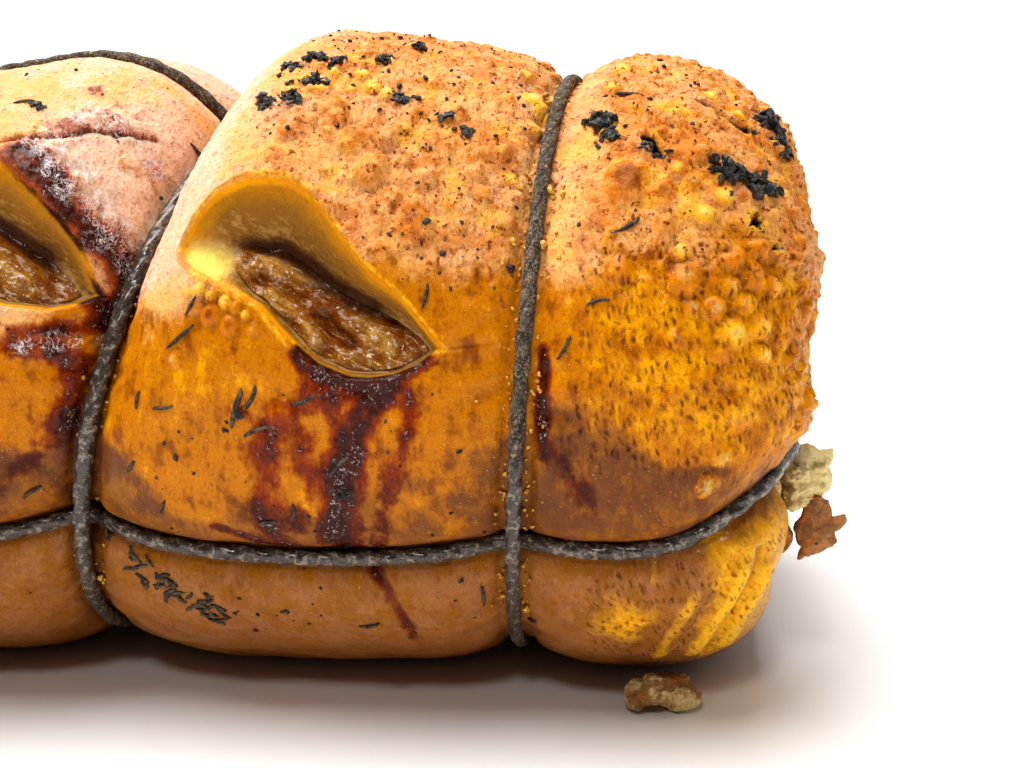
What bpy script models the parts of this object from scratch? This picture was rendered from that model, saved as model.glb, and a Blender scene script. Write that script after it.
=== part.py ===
"""Porchetta: a boned, stuffed and rolled joint of pork, tied with twine and roasted in its skin.

The roll lies along X on its own flattened underside, which is at Z = 0, and the side with the
two open slits faces -Y. A place on the skin is given by a station, in metres along the roll, and
an angle round it, in degrees from the top towards -Y. Both are counted before the ties lean over.
"""

import math
import random

import bmesh
import bpy
import numpy as np
from mathutils import Matrix, Vector
from mathutils.bvhtree import BVHTree

# Driving dimensions, in metres and degrees.
HALF_LENGTH = 0.1590
AXIS_HEIGHT = 0.0715
HALF_WIDTH = 0.086
UNDER_RADIUS = 0.0765
CROWN = (
    (-0.150, 0.0760), (-0.097, 0.0800), (-0.060, 0.0825), (-0.020, 0.0870), (0.0, 0.0890),
    (0.030, 0.0925), (0.060, 0.0880), (0.096, 0.0815), (0.125, 0.0800), (0.150, 0.0745),
)

# Each tie: station, lean at the top, groove depth at top, front and underside, reach left, right.
TIES = {
    "tie_a": (-0.097, 0.010, 0.013, 0.009, 0.008, 0.034, 0.030),
    "tie_b": (0.0, 0.020, 0.029, 0.011, 0.009, 0.036, 0.032),
    "tie_c": (0.096, 0.0075, 0.007, 0.0045, 0.007, 0.020, 0.018),
}
TWINE_RADIUS = 0.0019
TWINE_GAP = 0.0006
KNOT_LIFT = 0.0042
LONG_STEP = 0.0105
RING_STEP = 0.0105
FLOOR_HALF = 0.0034
GROOVE_POWER = 0.6

# The lengthwise twine's angle along the roll. Each crease then has its middle angle, its depth,
# its extra depth under the ties, and its reach up and down the skin.
FRONT_CREASE = (
    (-0.159, 98.0), (-0.13, 107.0), (-0.097, 107.0), (-0.05, 110.0), (-0.004, 108.0), (0.02, 110.0),
    (0.057, 112.0), (0.095, 110.0), (0.125, 109.5), (0.148, 103.0), (0.159, 98.0),
)
TOP_CREASE = ((-0.13, 4.0), (-0.06, 11.0), (-0.01, 13.0), (0.03, -6.0), (0.07, -4.0), (0.12, -10.0))
BACK_CREASE = ((-0.159, 262.0), (-0.12, 256.0), (-0.05, 250.0), (0.05, 253.0), (0.159, 262.0))
CREASES = (
    (TOP_CREASE, 6.0, 0.0015, 0.0035, 0.010, 0.010),
    (FRONT_CREASE, 108.0, 0.0060, 0.0, 0.016, 0.012),
    (BACK_CREASE, 252.0, 0.0045, 0.0010, 0.014, 0.012),
)
DIP_REACH = 0.012
CREASE_FLOOR = 1.9
CREASE_REACH = 40.0

# The rounded shoulder of each end, the cut edge of the skin and the face of meat inside it.
SHOULDER = 0.034
SHOULDER_POWER = 2.0
RIM = 0.71
LIP = 0.67
RECESS = 0.0095
END_DOME = 0.0030
NOTCHES = ((101.0, 0.0070), (260.0, 0.0060), (5.0, 0.0025))
NOTCH_WIDTH = 7.0

# Rows of points along the roll and columns round it.
GROOVE_ROWS = (0.003, 0.0075, 0.0135, 0.021)
MID_ROWS = 3
SHOULDER_ROWS = (0.0, 0.36, 0.62, 0.82, 0.95, 1.0)
FACE_ROWS = (LIP, 0.42, 0.20)
CREASE_COLUMNS = (CREASE_FLOOR, 5.5, 11.0)
COLUMN_GAPS = ((17.0, 97.0, 10), (119.0, 241.0, 8), (263.0, 355.0, 8))

# The slits: left tip, right tip, half width, depth and how far the floor runs under the top rim.
SLITS = {
    "slit_b": ((0.019, 61.5), (0.079, 77.5), 0.0150, 0.0115, 0.35),
    "slit_a": ((-0.063, 52.0), (-0.004, 67.0), 0.0140, 0.0100, 0.30),
}
SLIT_REACH = 0.022
SLIT_WALL = 0.7
SLIT_HOOD = 0.0035
HOOD_REACH = 0.010

# The stuffing: a spiral band through the whole roll, which swells at its inner end.
SPIRAL_START, SPIRAL_END = -40.0, 478.0
SPIRAL_INNER, SPIRAL_OUTER = 0.015, 0.055
BAND_CORE, BAND_HALF = 0.0070, 0.0032
SPIRAL_STEPS = 34
FIT_GAP = 0.0004
STUFFING_HALF = HALF_LENGTH - 0.0070

# Lumps of stuffing pushed out of the seam at both ends: place, half sizes.
SEAM_LUMPS = (
    ((0.1575, -0.0455, 0.0505), (0.0080, 0.0088, 0.0078)),
    ((0.1520, -0.0490, 0.0400), (0.0055, 0.0075, 0.0075)),
    ((0.1600, -0.0455, 0.0405), (0.0060, 0.0068, 0.0088)),
    ((-0.1560, -0.0470, 0.0500), (0.0090, 0.0080, 0.0075)),
    ((-0.1510, -0.0480, 0.0390), (0.0075, 0.0070, 0.0070)),
)
FALLEN_LUMP = ((0.1255, -0.0565, 0.0043), (0.0095, 0.0060, 0.0038))

# Small things on the skin: station, angle, size, and for needles their turn on the skin.
BLISTERS = (
    (0.036, 47, 0.0062), (0.115, 56, 0.0066), (0.056, 52, 0.0045), (0.072, 54, 0.0048),
    (0.128, 69, 0.0040), (0.139, 86, 0.0042), (0.060, 35, 0.0050), (0.088, 33, 0.0058),
    (0.118, 40, 0.0050), (-0.024, 40, 0.0040), (-0.050, 84, 0.0050), (-0.075, 62, 0.0055),
    (-0.126, 60, 0.0060), (-0.120, 82, 0.0045),
)
BACK_BLISTERS = 6
LARGE = 0.0049
NEEDLES = (
    (0.022, 76, 0.0085, 35), (0.075, 71, 0.0050, 80), (0.111, 72, 0.0045, 10),
    (0.105, 78, 0.0050, 60), (-0.004, 31, 0.0055, 0), (0.037, 86, 0.0085, 70),
    (0.051, 85, 0.0070, 20), (0.060, 94, 0.0060, 45), (0.020, 86, 0.0050, 5),
    (0.014, 95, 0.0040, 50), (0.022, 118, 0.0050, 40), (-0.040, 78, 0.0080, 25),
    (-0.118, 72, 0.0080, 70), (-0.060, 35, 0.0060, 15),
)
NEEDLE_HALF = 0.0008
CHAR_FLAKES = (
    (0.106, 43, 0.0052), (0.110, 46, 0.0036), (0.139, 52, 0.0058), (0.144, 53, 0.0062),
    (0.148, 54, 0.0046), (0.033, 35, 0.0040), (0.036, 31, 0.0046), (0.035, 40, 0.0044),
    (0.048, 31, 0.0044), (0.055, 24, 0.0040), (0.061, 40, 0.0040), (0.136, 38, 0.0036),
    (-0.020, 45, 0.0042), (-0.110, 35, 0.0046), (-0.130, 42, 0.0052),
)
SEED = 11

MATERIALS = {
    "roll": ("browned_skin", (0.62, 0.27, 0.07), 0.38),
    "stuffing": ("herb_stuffing", (0.44, 0.36, 0.20), 0.75),
    "fallen_stuffing": ("herb_stuffing", (0.44, 0.36, 0.20), 0.75),
    "twine": ("roasted_twine", (0.055, 0.045, 0.040), 0.70),
}


def outline(points, at):
    """Read a value at a station from a short outline of (station, value) points."""
    stations, values = zip(*points)
    return np.interp(at, stations, values)


def ease(low, high, value):
    """Rise smoothly from 0 at low to 1 at high."""
    v = np.clip((np.asarray(value, float) - low) / (high - low), 0.0, 1.0)
    return v * v * (3.0 - 2.0 * v)


def turn_gap(angle, centre):
    """Signed difference of two angles in degrees, between -180 and 180."""
    return (np.asarray(angle, float) - centre + 180.0) % 360.0 - 180.0


def lean(station):
    """How far the skin is dragged along X at the top of the roll, from tie to tie."""
    points = [(-HALF_LENGTH, 0.0)]
    points += [(tie[0], tie[1]) for tie in TIES.values()]
    points += [(HALF_LENGTH, 0.0)]
    return outline(points, station)


def groove(distance, reach):
    """Share of a groove's depth at a distance from its floor, from 1 down to 0 like a pillow."""
    v = np.clip(distance / reach, 0.0, 1.0)
    return 1.0 - (1.0 - (1.0 - v) ** 2) ** GROOVE_POWER


def base_radius(station, angle):
    """The roll's radius without ties: a full oval that is cut off flat where it rests."""
    turn = np.radians(angle)
    cos, sin = np.cos(turn), np.sin(turn)
    tall = np.where(cos > 0.0, outline(CROWN, station + lean(station) * cos), UNDER_RADIUS)
    power = np.where(cos > 0.0, 2.25, 2.1)
    oval = (np.abs(cos / tall) ** power + np.abs(sin / HALF_WIDTH) ** power) ** (-1.0 / power)
    flat = AXIS_HEIGHT / np.maximum(-cos, 0.1)
    return np.where(cos < -0.1, np.minimum(oval, flat), oval)


def tie_depth(tie, angle):
    """Depth of one tie's groove at an angle, blended between top, front and underside."""
    cos = np.cos(np.radians(angle))
    top, under = np.clip(cos, 0.0, 1.0) ** 1.2, np.clip(-cos, 0.0, 1.0) ** 1.2
    return tie[3] * (1.0 - top - under) + tie[2] * top + tie[4] * under


def skin_radius(station, angle, with_creases=True):
    """Radius of the skin with the grooves of the ties and the creases of the long twine."""
    station, angle = np.broadcast_arrays(np.asarray(station, float), np.asarray(angle, float))
    radius = base_radius(station, angle)
    for tie in TIES.values():
        away = station - tie[0]
        reach = np.where(away < 0.0, tie[5], tie[6])
        radius = radius - tie_depth(tie, angle) * groove(np.abs(away) - FLOOR_HALF, reach)
    for points, _, depth, dip, over, below in CREASES if with_creases else ():
        away = turn_gap(angle, outline(points, station))
        arc = np.radians(np.abs(away) - CREASE_FLOOR) * HALF_WIDTH
        nearest = np.min([np.abs(station - tie[0]) for tie in TIES.values()], axis=0)
        deep = depth + dip * np.exp(-((nearest / DIP_REACH) ** 2))
        radius = radius - deep * groove(arc, np.where(away < 0.0, over, below))
    return radius + slit_hood(station, angle)


def slit_hood(station, angle):
    """The skin curls up along the upper rim of each slit."""
    rise = 0.0
    for left, right, half, _, _ in SLITS.values():
        along = (station - left[0]) / (right[0] - left[0])
        across = np.radians(left[1] + (right[1] - left[1]) * along - angle) * HALF_WIDTH
        bell = np.clip(1.0 - (2.0 * along - 0.9) ** 2, 0.0, 1.0)
        rim = np.exp(-(((across - half * bell) / HOOD_REACH) ** 2))
        rise = rise + SLIT_HOOD * rim * bell
    return rise


def end_station(side, angle):
    """Where the skin stops at one end: the seam's twine pulls it in, the low flap is shorter."""
    low = ease(98.0, 108.0, angle % 360.0) * (1.0 - ease(230.0, 260.0, angle % 360.0))
    pulled = 0.0
    for centre, depth in NOTCHES:
        pulled = pulled + depth * np.exp(-((turn_gap(angle, centre) / NOTCH_WIDTH) ** 2))
    ragged = 0.0009 * np.sin(np.radians(7.0 * angle + 40.0 * side))
    ragged = ragged + 0.0006 * np.sin(np.radians(13.0 * angle))
    flap = 0.0055 if side > 0 else 0.0030
    return side * (HALF_LENGTH - 0.0015 - flap * low - pulled + ragged)


def skin_point(station, angle, radius=None):
    """World point on the straight part of the skin."""
    turn = math.radians(angle)
    r = float(skin_radius(station, angle)) if radius is None else radius
    x = station + float(lean(station)) * math.cos(turn)
    z = AXIS_HEIGHT + r * math.cos(turn)
    return Vector((x, -r * math.sin(turn), 0.0 if abs(z) < 1e-6 else z))


def end_point(side, angle, depth, share):
    """World point on an end: depth runs 0 to 1 down the shoulder, share is of the radius."""
    stop = float(end_station(side, angle))
    start = side * (HALF_LENGTH - SHOULDER)
    turn = math.radians(angle)
    r = float(skin_radius(start + (stop - start) * depth, angle)) * share
    x = start + (stop - start) * depth + float(lean(start)) * math.cos(turn) * (1.0 - depth)
    if share < RIM:
        x -= side * (RECESS - END_DOME * (1.0 - (share / LIP) ** 2))
    z = AXIS_HEIGHT + r * math.cos(turn)
    return Vector((x, -r * math.sin(turn), 0.0 if abs(z) < 1e-6 else z))


def crease_columns():
    """Column angles: close together at the three creases and evenly spread between them."""
    columns = []
    for _, centre, *_ in CREASES:
        columns += [centre + sign * step for step in CREASE_COLUMNS for sign in (-1, 1)]
    for low, high, steps in COLUMN_GAPS:
        columns += [low + (high - low) * i / steps for i in range(steps + 1)]
    return merge_close(sorted(a % 360.0 for a in columns), 1.0)


def tie_rows():
    """Row stations of the straight part: close together at the ties' grooves."""
    start = HALF_LENGTH - SHOULDER
    stations = [-start, start]
    for tie in TIES.values():
        steps = (0.0,) + GROOVE_ROWS
        stations += [tie[0] + side * (FLOOR_HALF + step) for step in steps for side in (-1, 1)]
    centres = [tie[0] for tie in TIES.values()]
    clear = FLOOR_HALF + GROOVE_ROWS[-1]
    for left, right in zip(centres, centres[1:]):
        stations += list(np.linspace(left + clear, right - clear, MID_ROWS + 1))
    return merge_close(sorted(s for s in stations if abs(s) <= start + 1e-9), 0.0015)


def merge_close(values, least):
    """Drop each value that lies closer than the least distance to the one before it."""
    kept = [values[0]]
    for value in values[1:]:
        if value - kept[-1] > least:
            kept.append(value)
    return kept


def bent_angle(column, station):
    """Column angle at a station: the columns at a crease follow it along the roll."""
    shift = 0.0
    for points, centre, *_ in CREASES:
        share = max(0.0, 1.0 - abs(float(turn_gap(column, centre))) / CREASE_REACH)
        shift += (float(outline(points, station)) - centre) * share
    return column + shift


def shoulder_share(depth):
    """Share of the radius at a depth down the shoulder, from 1 to the cut rim of the skin."""
    return RIM + (1.0 - RIM) * (1.0 - depth**SHOULDER_POWER) ** (1.0 / SHOULDER_POWER)


def roll_rows():
    """Every ring of the roll from the left end to the right, as functions of the column."""
    rings = [(-1, 1.0, share) for share in reversed(FACE_ROWS)]
    rings += [(-1, depth, shoulder_share(depth)) for depth in reversed(SHOULDER_ROWS[1:])]
    rings += [(0, station, 1.0) for station in tie_rows()]
    rings += [(1, depth, shoulder_share(depth)) for depth in SHOULDER_ROWS[1:]]
    rings += [(1, 1.0, share) for share in FACE_ROWS]
    return rings


def ring_point(ring, column):
    """World point of one column on one ring."""
    side, place, share = ring
    if side == 0:
        return skin_point(place, bent_angle(column, place))
    station = side * (HALF_LENGTH - SHOULDER * (1.0 - place))
    return end_point(side, bent_angle(column, station), place, share)


def new_object(name, mesh, material=None):
    """Link a mesh object into the part's collection."""
    item = bpy.data.objects.new(name, mesh)
    PART.objects.link(item)
    if material:
        mesh.materials.append(material)
    return item


def shaded(item, degrees=50.0):
    """Shade an object smooth and keep its crisp edges."""
    item.data.shade_smooth()
    item.data.set_sharp_from_angle(angle=math.radians(degrees))
    return item


def mesh_from(bm, name):
    """Turn a closed bmesh into a mesh whose faces point out, and free it."""
    bmesh.ops.recalc_face_normals(bm, faces=bm.faces)
    if bm.calc_volume(signed=True) < 0.0:
        bmesh.ops.reverse_faces(bm, faces=bm.faces)
    mesh = bpy.data.meshes.new(name)
    bm.to_mesh(mesh)
    bm.free()
    return mesh


def ball(name, segments, rings, place):
    """A UV sphere whose points are moved by place(latitude, longitude), angles in radians."""
    bm = bmesh.new()
    bmesh.ops.create_uvsphere(bm, u_segments=segments, v_segments=rings, radius=1.0)
    for vert in bm.verts:
        x, y, z = vert.co
        vert.co = place(math.asin(max(-1.0, min(1.0, z))), math.atan2(y, x))
    return mesh_from(bm, name)


def make_roll():
    """The skin, fat and meat as one body: a sphere's rings drawn out along the roll."""
    rings, columns = roll_rows(), crease_columns()

    def place(latitude, longitude):
        row = round((0.5 - latitude / math.pi) * (len(rings) + 1))
        if row in (0, len(rings) + 1):
            side = -1 if row == 0 else 1
            return Vector((side * (HALF_LENGTH - 0.0015 - RECESS + END_DOME), 0.0, AXIS_HEIGHT))
        column = round(longitude / (2.0 * math.pi) * len(columns)) % len(columns)
        return ring_point(rings[row - 1], columns[column])

    return new_object("roll", ball("roll", len(columns), len(rings) + 1, place))


def skin_frame(station, angle):
    """Place and axes on the skin: along the roll, down the front and out of the skin."""
    at = skin_point(station, angle)
    along = (skin_point(station + 0.002, angle) - skin_point(station - 0.002, angle)).normalized()
    down = (skin_point(station, angle + 1.5) - skin_point(station, angle - 1.5)).normalized()
    out = along.cross(down).normalized()
    if out.dot(at - Vector((at.x, 0.0, AXIS_HEIGHT))) < 0.0:
        out = -out
    return at, along, out.cross(along), out


def make_slit_cutter(name, left, right, half, depth, under):
    """A boat-shaped body whose floor runs in under the slit's upper rim and is ridged like meat."""
    tip_a, tip_b = skin_point(*left), skin_point(*right)
    middle = (tip_a + tip_b) / 2.0
    long_axis = (tip_b - tip_a).normalized()
    out = skin_frame((left[0] + right[0]) / 2.0, (left[1] + right[1]) / 2.0)[3]
    across = long_axis.cross(out).normalized()
    if across.z < 0.0:
        across = -across
    out = (out - long_axis * out.dot(long_axis)).normalized()
    length = (tip_b - tip_a).length / 2.0 + 0.002

    def place(latitude, longitude):
        u = math.cos(latitude) * math.cos(longitude)
        v = math.cos(latitude) * math.sin(longitude)
        w = math.sin(latitude)
        wide = half * (1.0 - 0.28 * u) * (1.0 - 0.15 * abs(u) ** 3)
        high = SLIT_REACH if w > 0.0 else depth * (1.0 + 0.12 * math.sin(9.0 * u + 4.0 * v))
        w = math.copysign(abs(w) ** SLIT_WALL, w)
        sunk = max(0.0, -w)
        return (
            middle + long_axis * (u * length) + out * (w * high)
            + across * (v * wide + under * sunk * depth * (1.0 - u * u))
        )

    return new_object(name, ball(name, 22, 10, place))


def spiral_outline(extra):
    """The stuffing band's section as (y, z) points, made wider all round by extra."""
    inner, outer = [], []
    for i in range(SPIRAL_STEPS + 1):
        share = i / SPIRAL_STEPS
        angle = SPIRAL_START + (SPIRAL_END - SPIRAL_START) * share
        middle = SPIRAL_INNER + (SPIRAL_OUTER - SPIRAL_INNER) * share
        core = math.exp(-((share / 0.16) ** 2))
        half = BAND_HALF * (1.0 + 0.22 * math.sin(11.0 * share)) + (BAND_CORE - BAND_HALF) * core
        if i in (0, SPIRAL_STEPS):
            half *= 0.55
            angle += math.degrees(extra / middle) * (-1.0 if i == 0 else 1.0)
        for side, points in ((-1.0, inner), (1.0, outer)):
            radius = middle + side * (half + extra)
            turn = math.radians(angle)
            points.append((-radius * math.sin(turn), AXIS_HEIGHT + radius * math.cos(turn)))
    return outer + inner[::-1]


def make_prism(name, section, half):
    """A section in Y and Z drawn out along X to both sides, as a closed mesh."""
    curve = bpy.data.curves.new(name, "CURVE")
    curve.dimensions = "2D"
    curve.fill_mode = "BOTH"
    curve.extrude = half
    spline = curve.splines.new("POLY")
    spline.points.add(len(section) - 1)
    for point, (y, z) in zip(spline.points, section):
        point.co = (y, z, 0.0, 1.0)
    spline.use_cyclic_u = True
    standing = Matrix(((0, 0, 1, 0), (1, 0, 0, 0), (0, 1, 0, 0), (0, 0, 0, 1)))
    return solid_from_curve(name, curve, standing)


def solid_from_curve(name, curve, turned=Matrix.Identity(4)):
    """Evaluate a curve into a welded mesh object and remove the curve."""
    item = bpy.data.objects.new(name, curve)
    PART.objects.link(item)
    graph = bpy.context.evaluated_depsgraph_get()
    mesh = bpy.data.meshes.new_from_object(item.evaluated_get(graph))
    bm = bmesh.new()
    bm.from_mesh(mesh)
    bmesh.ops.remove_doubles(bm, verts=bm.verts, dist=1e-6)
    bmesh.ops.transform(bm, matrix=turned, verts=bm.verts)
    bpy.data.objects.remove(item)
    bpy.data.curves.remove(curve)
    bpy.data.meshes.remove(mesh)
    return new_object(name, mesh_from(bm, name))


def lump(name, centre, halves, rough=0.0, segments=12, rings=8):
    """An uneven rounded body; with rough 0 it is the smooth body that encloses every other."""
    centre = Vector(centre)

    def place(latitude, longitude):
        u = math.cos(latitude) * math.cos(longitude)
        v = math.cos(latitude) * math.sin(longitude)
        w = math.sin(latitude)
        dent = 0.5 + 0.5 * math.sin(5.0 * u + 3.0 * w + 90.0 * centre.x)
        dent *= 0.5 + 0.5 * math.cos(6.0 * v - 4.0 * w + 70.0 * centre.z)
        size = 1.0 - rough * dent
        return centre + Vector((u * halves[0], v * halves[1], w * halves[2])) * size

    return new_object(name, ball(name, segments, rings, place))


def boolean(item, operation, others, solver="EXACT"):
    """Cut a group of bodies from one body, or join them to it, and remove the group."""
    group = bpy.data.collections.new("operands")
    for other in others:
        group.objects.link(other)
    modifier = item.modifiers.new(operation.lower(), "BOOLEAN")
    modifier.operation = operation
    modifier.operand_type = "COLLECTION"
    modifier.collection = group
    modifier.solver = solver
    graph = bpy.context.evaluated_depsgraph_get()
    joined = bpy.data.meshes.new_from_object(item.evaluated_get(graph))
    item.modifiers.clear()
    item.data = joined
    for other in list(group.objects):
        bpy.data.objects.remove(other)
    bpy.data.collections.remove(group)
    return item


def on_mesh(tree, station, angle):
    """The same place and axes, moved onto the flat faces that the skin is made of."""
    at, along, _, _ = skin_frame(station, angle)
    at, out, _, _ = tree.find_nearest(at)
    down = out.cross(along).normalized()
    return at, down.cross(out), down, out


def make_blister(tree, index, station, angle, size):
    """A low dome that stands out of the skin."""
    at, along, down, out = on_mesh(tree, station, angle)
    bm = bmesh.new()
    bmesh.ops.create_icosphere(bm, subdivisions=2 if size > LARGE else 1, radius=1.0)
    for vert in bm.verts:
        u, v, w = vert.co
        vert.co = at + along * (u * size) + down * (v * size * 0.86) + out * (w * size * 0.62)
    return new_object(f"blister_{index}", mesh_from(bm, "blister"))


def make_needle(tree, index, station, angle, length, turn):
    """A herb needle: a slim five-sided spindle that lies half sunk in the skin."""
    at, along, down, out = on_mesh(tree, station, angle)
    heading = along * math.cos(math.radians(turn)) + down * math.sin(math.radians(turn))
    across = out.cross(heading)
    bm = bmesh.new()
    bmesh.ops.create_cone(
        bm, cap_ends=True, segments=5, radius1=NEEDLE_HALF, radius2=NEEDLE_HALF * 0.5, depth=length
    )
    for vert in bm.verts:
        u, v, w = vert.co
        vert.co = at + out * (NEEDLE_HALF * 0.3) + across * u + out * v + heading * w
    return new_object(f"needle_{index}", mesh_from(bm, "needle"))


def make_flake(tree, index, station, angle, size):
    """A charred flake: a flat, uneven twenty-sided crumb."""
    at, along, down, out = on_mesh(tree, station, angle)
    draw = random.Random(SEED + index)
    bm = bmesh.new()
    bmesh.ops.create_icosphere(bm, subdivisions=1, radius=1.0)
    for vert in bm.verts:
        u, v, w = vert.co * draw.uniform(0.75, 1.1)
        vert.co = at + along * (u * size * 0.8) + down * (v * size * 0.6) + out * (w * size * 0.36)
    return new_object(f"flake_{index}", mesh_from(bm, "flake"))


def make_toppings(tree):
    """The largest blisters, herb needles and charred flakes, placed where they show."""
    draw = random.Random(SEED)
    blisters = list(BLISTERS)
    for i in range(BACK_BLISTERS):
        section = (-0.130, -0.065, -0.035, 0.035, 0.065, 0.130)[i % 6]
        blisters.append((section + draw.uniform(-0.008, 0.008), draw.uniform(275.0, 345.0), 0.005))
    items = [make_blister(tree, i, *place) for i, place in enumerate(blisters)]
    items += [make_needle(tree, i, *place) for i, place in enumerate(NEEDLES)]
    items += [make_flake(tree, i, *place) for i, place in enumerate(CHAR_FLAKES)]
    return items


def push(point, tree, others):
    """The move that takes a twine's centre clear of the skin and of the twine under it."""
    move = Vector()
    clear = TWINE_RADIUS + TWINE_GAP
    near, normal, _, _ = tree.find_nearest(point)
    away = point - near
    inside = away.dot(normal) < 0.0 or away.length < 1e-6
    if inside:
        move = near + normal * clear - point
    elif away.length < clear:
        move = away.normalized() * (clear - away.length)
    out = (point - Vector((point.x, 0.0, AXIS_HEIGHT))).normalized()
    for other in others:
        short = 2.0 * TWINE_RADIUS + TWINE_GAP - path_distance(point, other)
        if short > 0.0:
            move = move + out * (short + 0.0001)
    return move


def settle(points, tree, others, closed, slack=0.25, rounds=30):
    """Draw a path taut and push it out until it clears the skin and the twine under it."""
    count = len(points)
    for _ in range(rounds):
        moved = list(points)
        for i in range(count):
            if closed or 0 < i < count - 1:
                middle = (points[i - 1] + points[(i + 1) % count]) / 2.0
                moved[i] = points[i].lerp(middle, slack)
        points = [point + push(point, tree, others) for point in moved]
    return points


def clear_chords(points, tree, others, closed):
    """Push the ends of each straight piece out until the whole piece clears what is under it."""
    points = list(points)
    count = len(points)
    for _ in range(25):
        for i in range(count if closed else count - 1):
            j = (i + 1) % count
            for share in (0.0, 0.25, 0.5, 0.75):
                move = push(points[i].lerp(points[j], share), tree, others)
                points[i] = points[i] + move * (1.0 - share)
                points[j] = points[j] + move * share
    return points


def path_distance(point, path):
    """Distance from a point to a path of straight pieces."""
    best = 1.0
    for a, b in zip(path, path[1:]):
        piece = b - a
        share = max(0.0, min(1.0, (point - a).dot(piece) / piece.length_squared))
        best = min(best, (point - a - piece * share).length)
    return best


def even_path(points, closed, step):
    """Read points at even distances along a path."""
    loop = points + points[:1] if closed else points
    lengths = np.cumsum([0.0] + [(b - a).length for a, b in zip(loop, loop[1:])])
    count = max(3, round(lengths[-1] / step))
    marks = np.linspace(0.0, lengths[-1], count + 1)
    if closed:
        marks = marks[:-1]
    axes = [np.interp(marks, lengths, [p[k] for p in loop]) for k in range(3)]
    return [Vector(p) for p in zip(*axes)]


def make_twine(name, points, closed, radius=TWINE_RADIUS):
    """A round twine along a path."""
    curve = bpy.data.curves.new(name, "CURVE")
    curve.dimensions = "3D"
    curve.bevel_depth = radius
    curve.bevel_resolution = 1
    curve.use_fill_caps = True
    spline = curve.splines.new("POLY")
    spline.points.add(len(points) - 1)
    for slot, point in zip(spline.points, points):
        slot.co = (*point, 1.0)
    spline.use_cyclic_u = closed
    return solid_from_curve(name, curve)


def lifted(station, angle, radius, height):
    """A point above the skin, out along the radius."""
    return skin_point(station, angle, float(radius) + height)


def side_path(tree):
    """The loop along the front seam, across both ends and back along the far side."""
    lift = TWINE_RADIUS + TWINE_GAP
    reach = HALF_LENGTH - SHOULDER
    stations = np.arange(-reach, reach + 1e-6, 0.004)
    path = []
    for points, order, side in ((FRONT_CREASE, 1, 1), (BACK_CREASE, -1, -1)):
        for station in stations[::order]:
            angle = float(outline(points, station))
            path.append(lifted(station, angle, skin_radius(station, angle), lift))
        path += end_crossing(side, lift)
    return settle(path, tree, [], closed=True)


def end_crossing(side, lift):
    """From one crease over the shoulder, straight across the end face and up to the other."""
    creases = (FRONT_CREASE, BACK_CREASE) if side > 0 else (BACK_CREASE, FRONT_CREASE)
    path = []
    for points, order in zip(creases, (1, -1)):
        half = []
        for depth in SHOULDER_ROWS[1:]:
            station = side * (HALF_LENGTH - SHOULDER * (1.0 - depth))
            angle = float(outline(points, station))
            at = end_point(side, angle, depth, shoulder_share(depth))
            out = Vector((side * depth, 0.0, 0.0)) + (at - Vector((at.x, 0.0, AXIS_HEIGHT))) * 8.0
            half.append(at + out.normalized() * lift)
        path.append(half[::order])
    first, last = path[0][-1], path[1][0]
    flat = side * (STUFFING_HALF + lift)
    across = [first.lerp(last, share) for share in np.linspace(0.0, 1.0, 22)[1:-1]]
    across = [Vector((flat, p.y, p.z)) for p in across]
    return path[0] + across + path[1]


def top_path(tree, side_loop):
    """The strand along the top, which comes down both ends and is knotted to the loop there."""
    lift = TWINE_RADIUS + TWINE_GAP
    reach = HALF_LENGTH - SHOULDER
    halves = []
    for side in (-1, 1):
        crossing = min((p for p in side_loop if p.x * side > 0), key=lambda p: abs(p.y + 0.004))
        flat = side * (STUFFING_HALF + lift)
        half = []
        for depth in SHOULDER_ROWS[1:]:
            station = side * (HALF_LENGTH - SHOULDER * (1.0 - depth))
            angle = float(outline(TOP_CREASE, station))
            at = end_point(side, angle, depth, shoulder_share(depth))
            half.append(at + Vector((side * depth, 0.0, 1.2 - depth)).normalized() * lift)
        foot = Vector((flat, crossing.y, crossing.z + 2.0 * TWINE_RADIUS + 0.0006))
        drop = [Vector((flat, half[-1].y, half[-1].z)).lerp(foot, s) for s in np.linspace(0.15, 1, 9)]
        halves.append(half + drop)
    stations = np.arange(-reach, reach + 1e-6, 0.004)
    along = []
    for station in stations:
        angle = float(outline(TOP_CREASE, station))
        along.append(lifted(station, angle, skin_radius(station, angle), lift))
    return settle(halves[0][::-1] + along + halves[1], tree, [], closed=False)


def tie_path(tie, tree, others):
    """A tie's ring in its groove, bridging the creases and riding over the long twine."""
    lift = TWINE_RADIUS + TWINE_GAP
    angles = np.arange(0.0, 360.0, 4.0)
    points = []
    for angle in angles:
        radius = skin_radius(tie[0], angle, with_creases=False)
        points.append(lifted(tie[0], angle, radius, lift))
    return settle(points, tree, others, closed=True, slack=0.10, rounds=12)


def make_knot(name, path, tree):
    """A small knot on the back of a tie with two short tails."""
    at = min(path, key=lambda p: abs(p.z - 0.118) if p.y > 0 else 1.0)
    centre, normal = at, tree.find_nearest(at)[1]
    for _ in range(6):
        near = tree.find_nearest(centre)[0]
        centre = near + (centre - near).normalized() * max(KNOT_LIFT, (centre - near).length)
    along = Vector((1.0, 0.0, 0.0))
    down = normal.cross(along).normalized()
    items = [lump(f"{name}_knot", centre, (0.0034, 0.0034, 0.0036), segments=7, rings=5)]
    for side in (-1, 1):
        tail = []
        for i in range(4):
            share = i / 3.0
            reach = along * (side * 0.011 * share) + down * (0.009 * share * share * side)
            tail.append(centre + reach + normal * (0.006 * math.sin(1.9 * share)))
        tail = clear_chords(tail, tree, [], False)
        items.append(make_twine(f"{name}_tail_{side}", tail, False, TWINE_RADIUS * 0.9))
    return items


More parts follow.
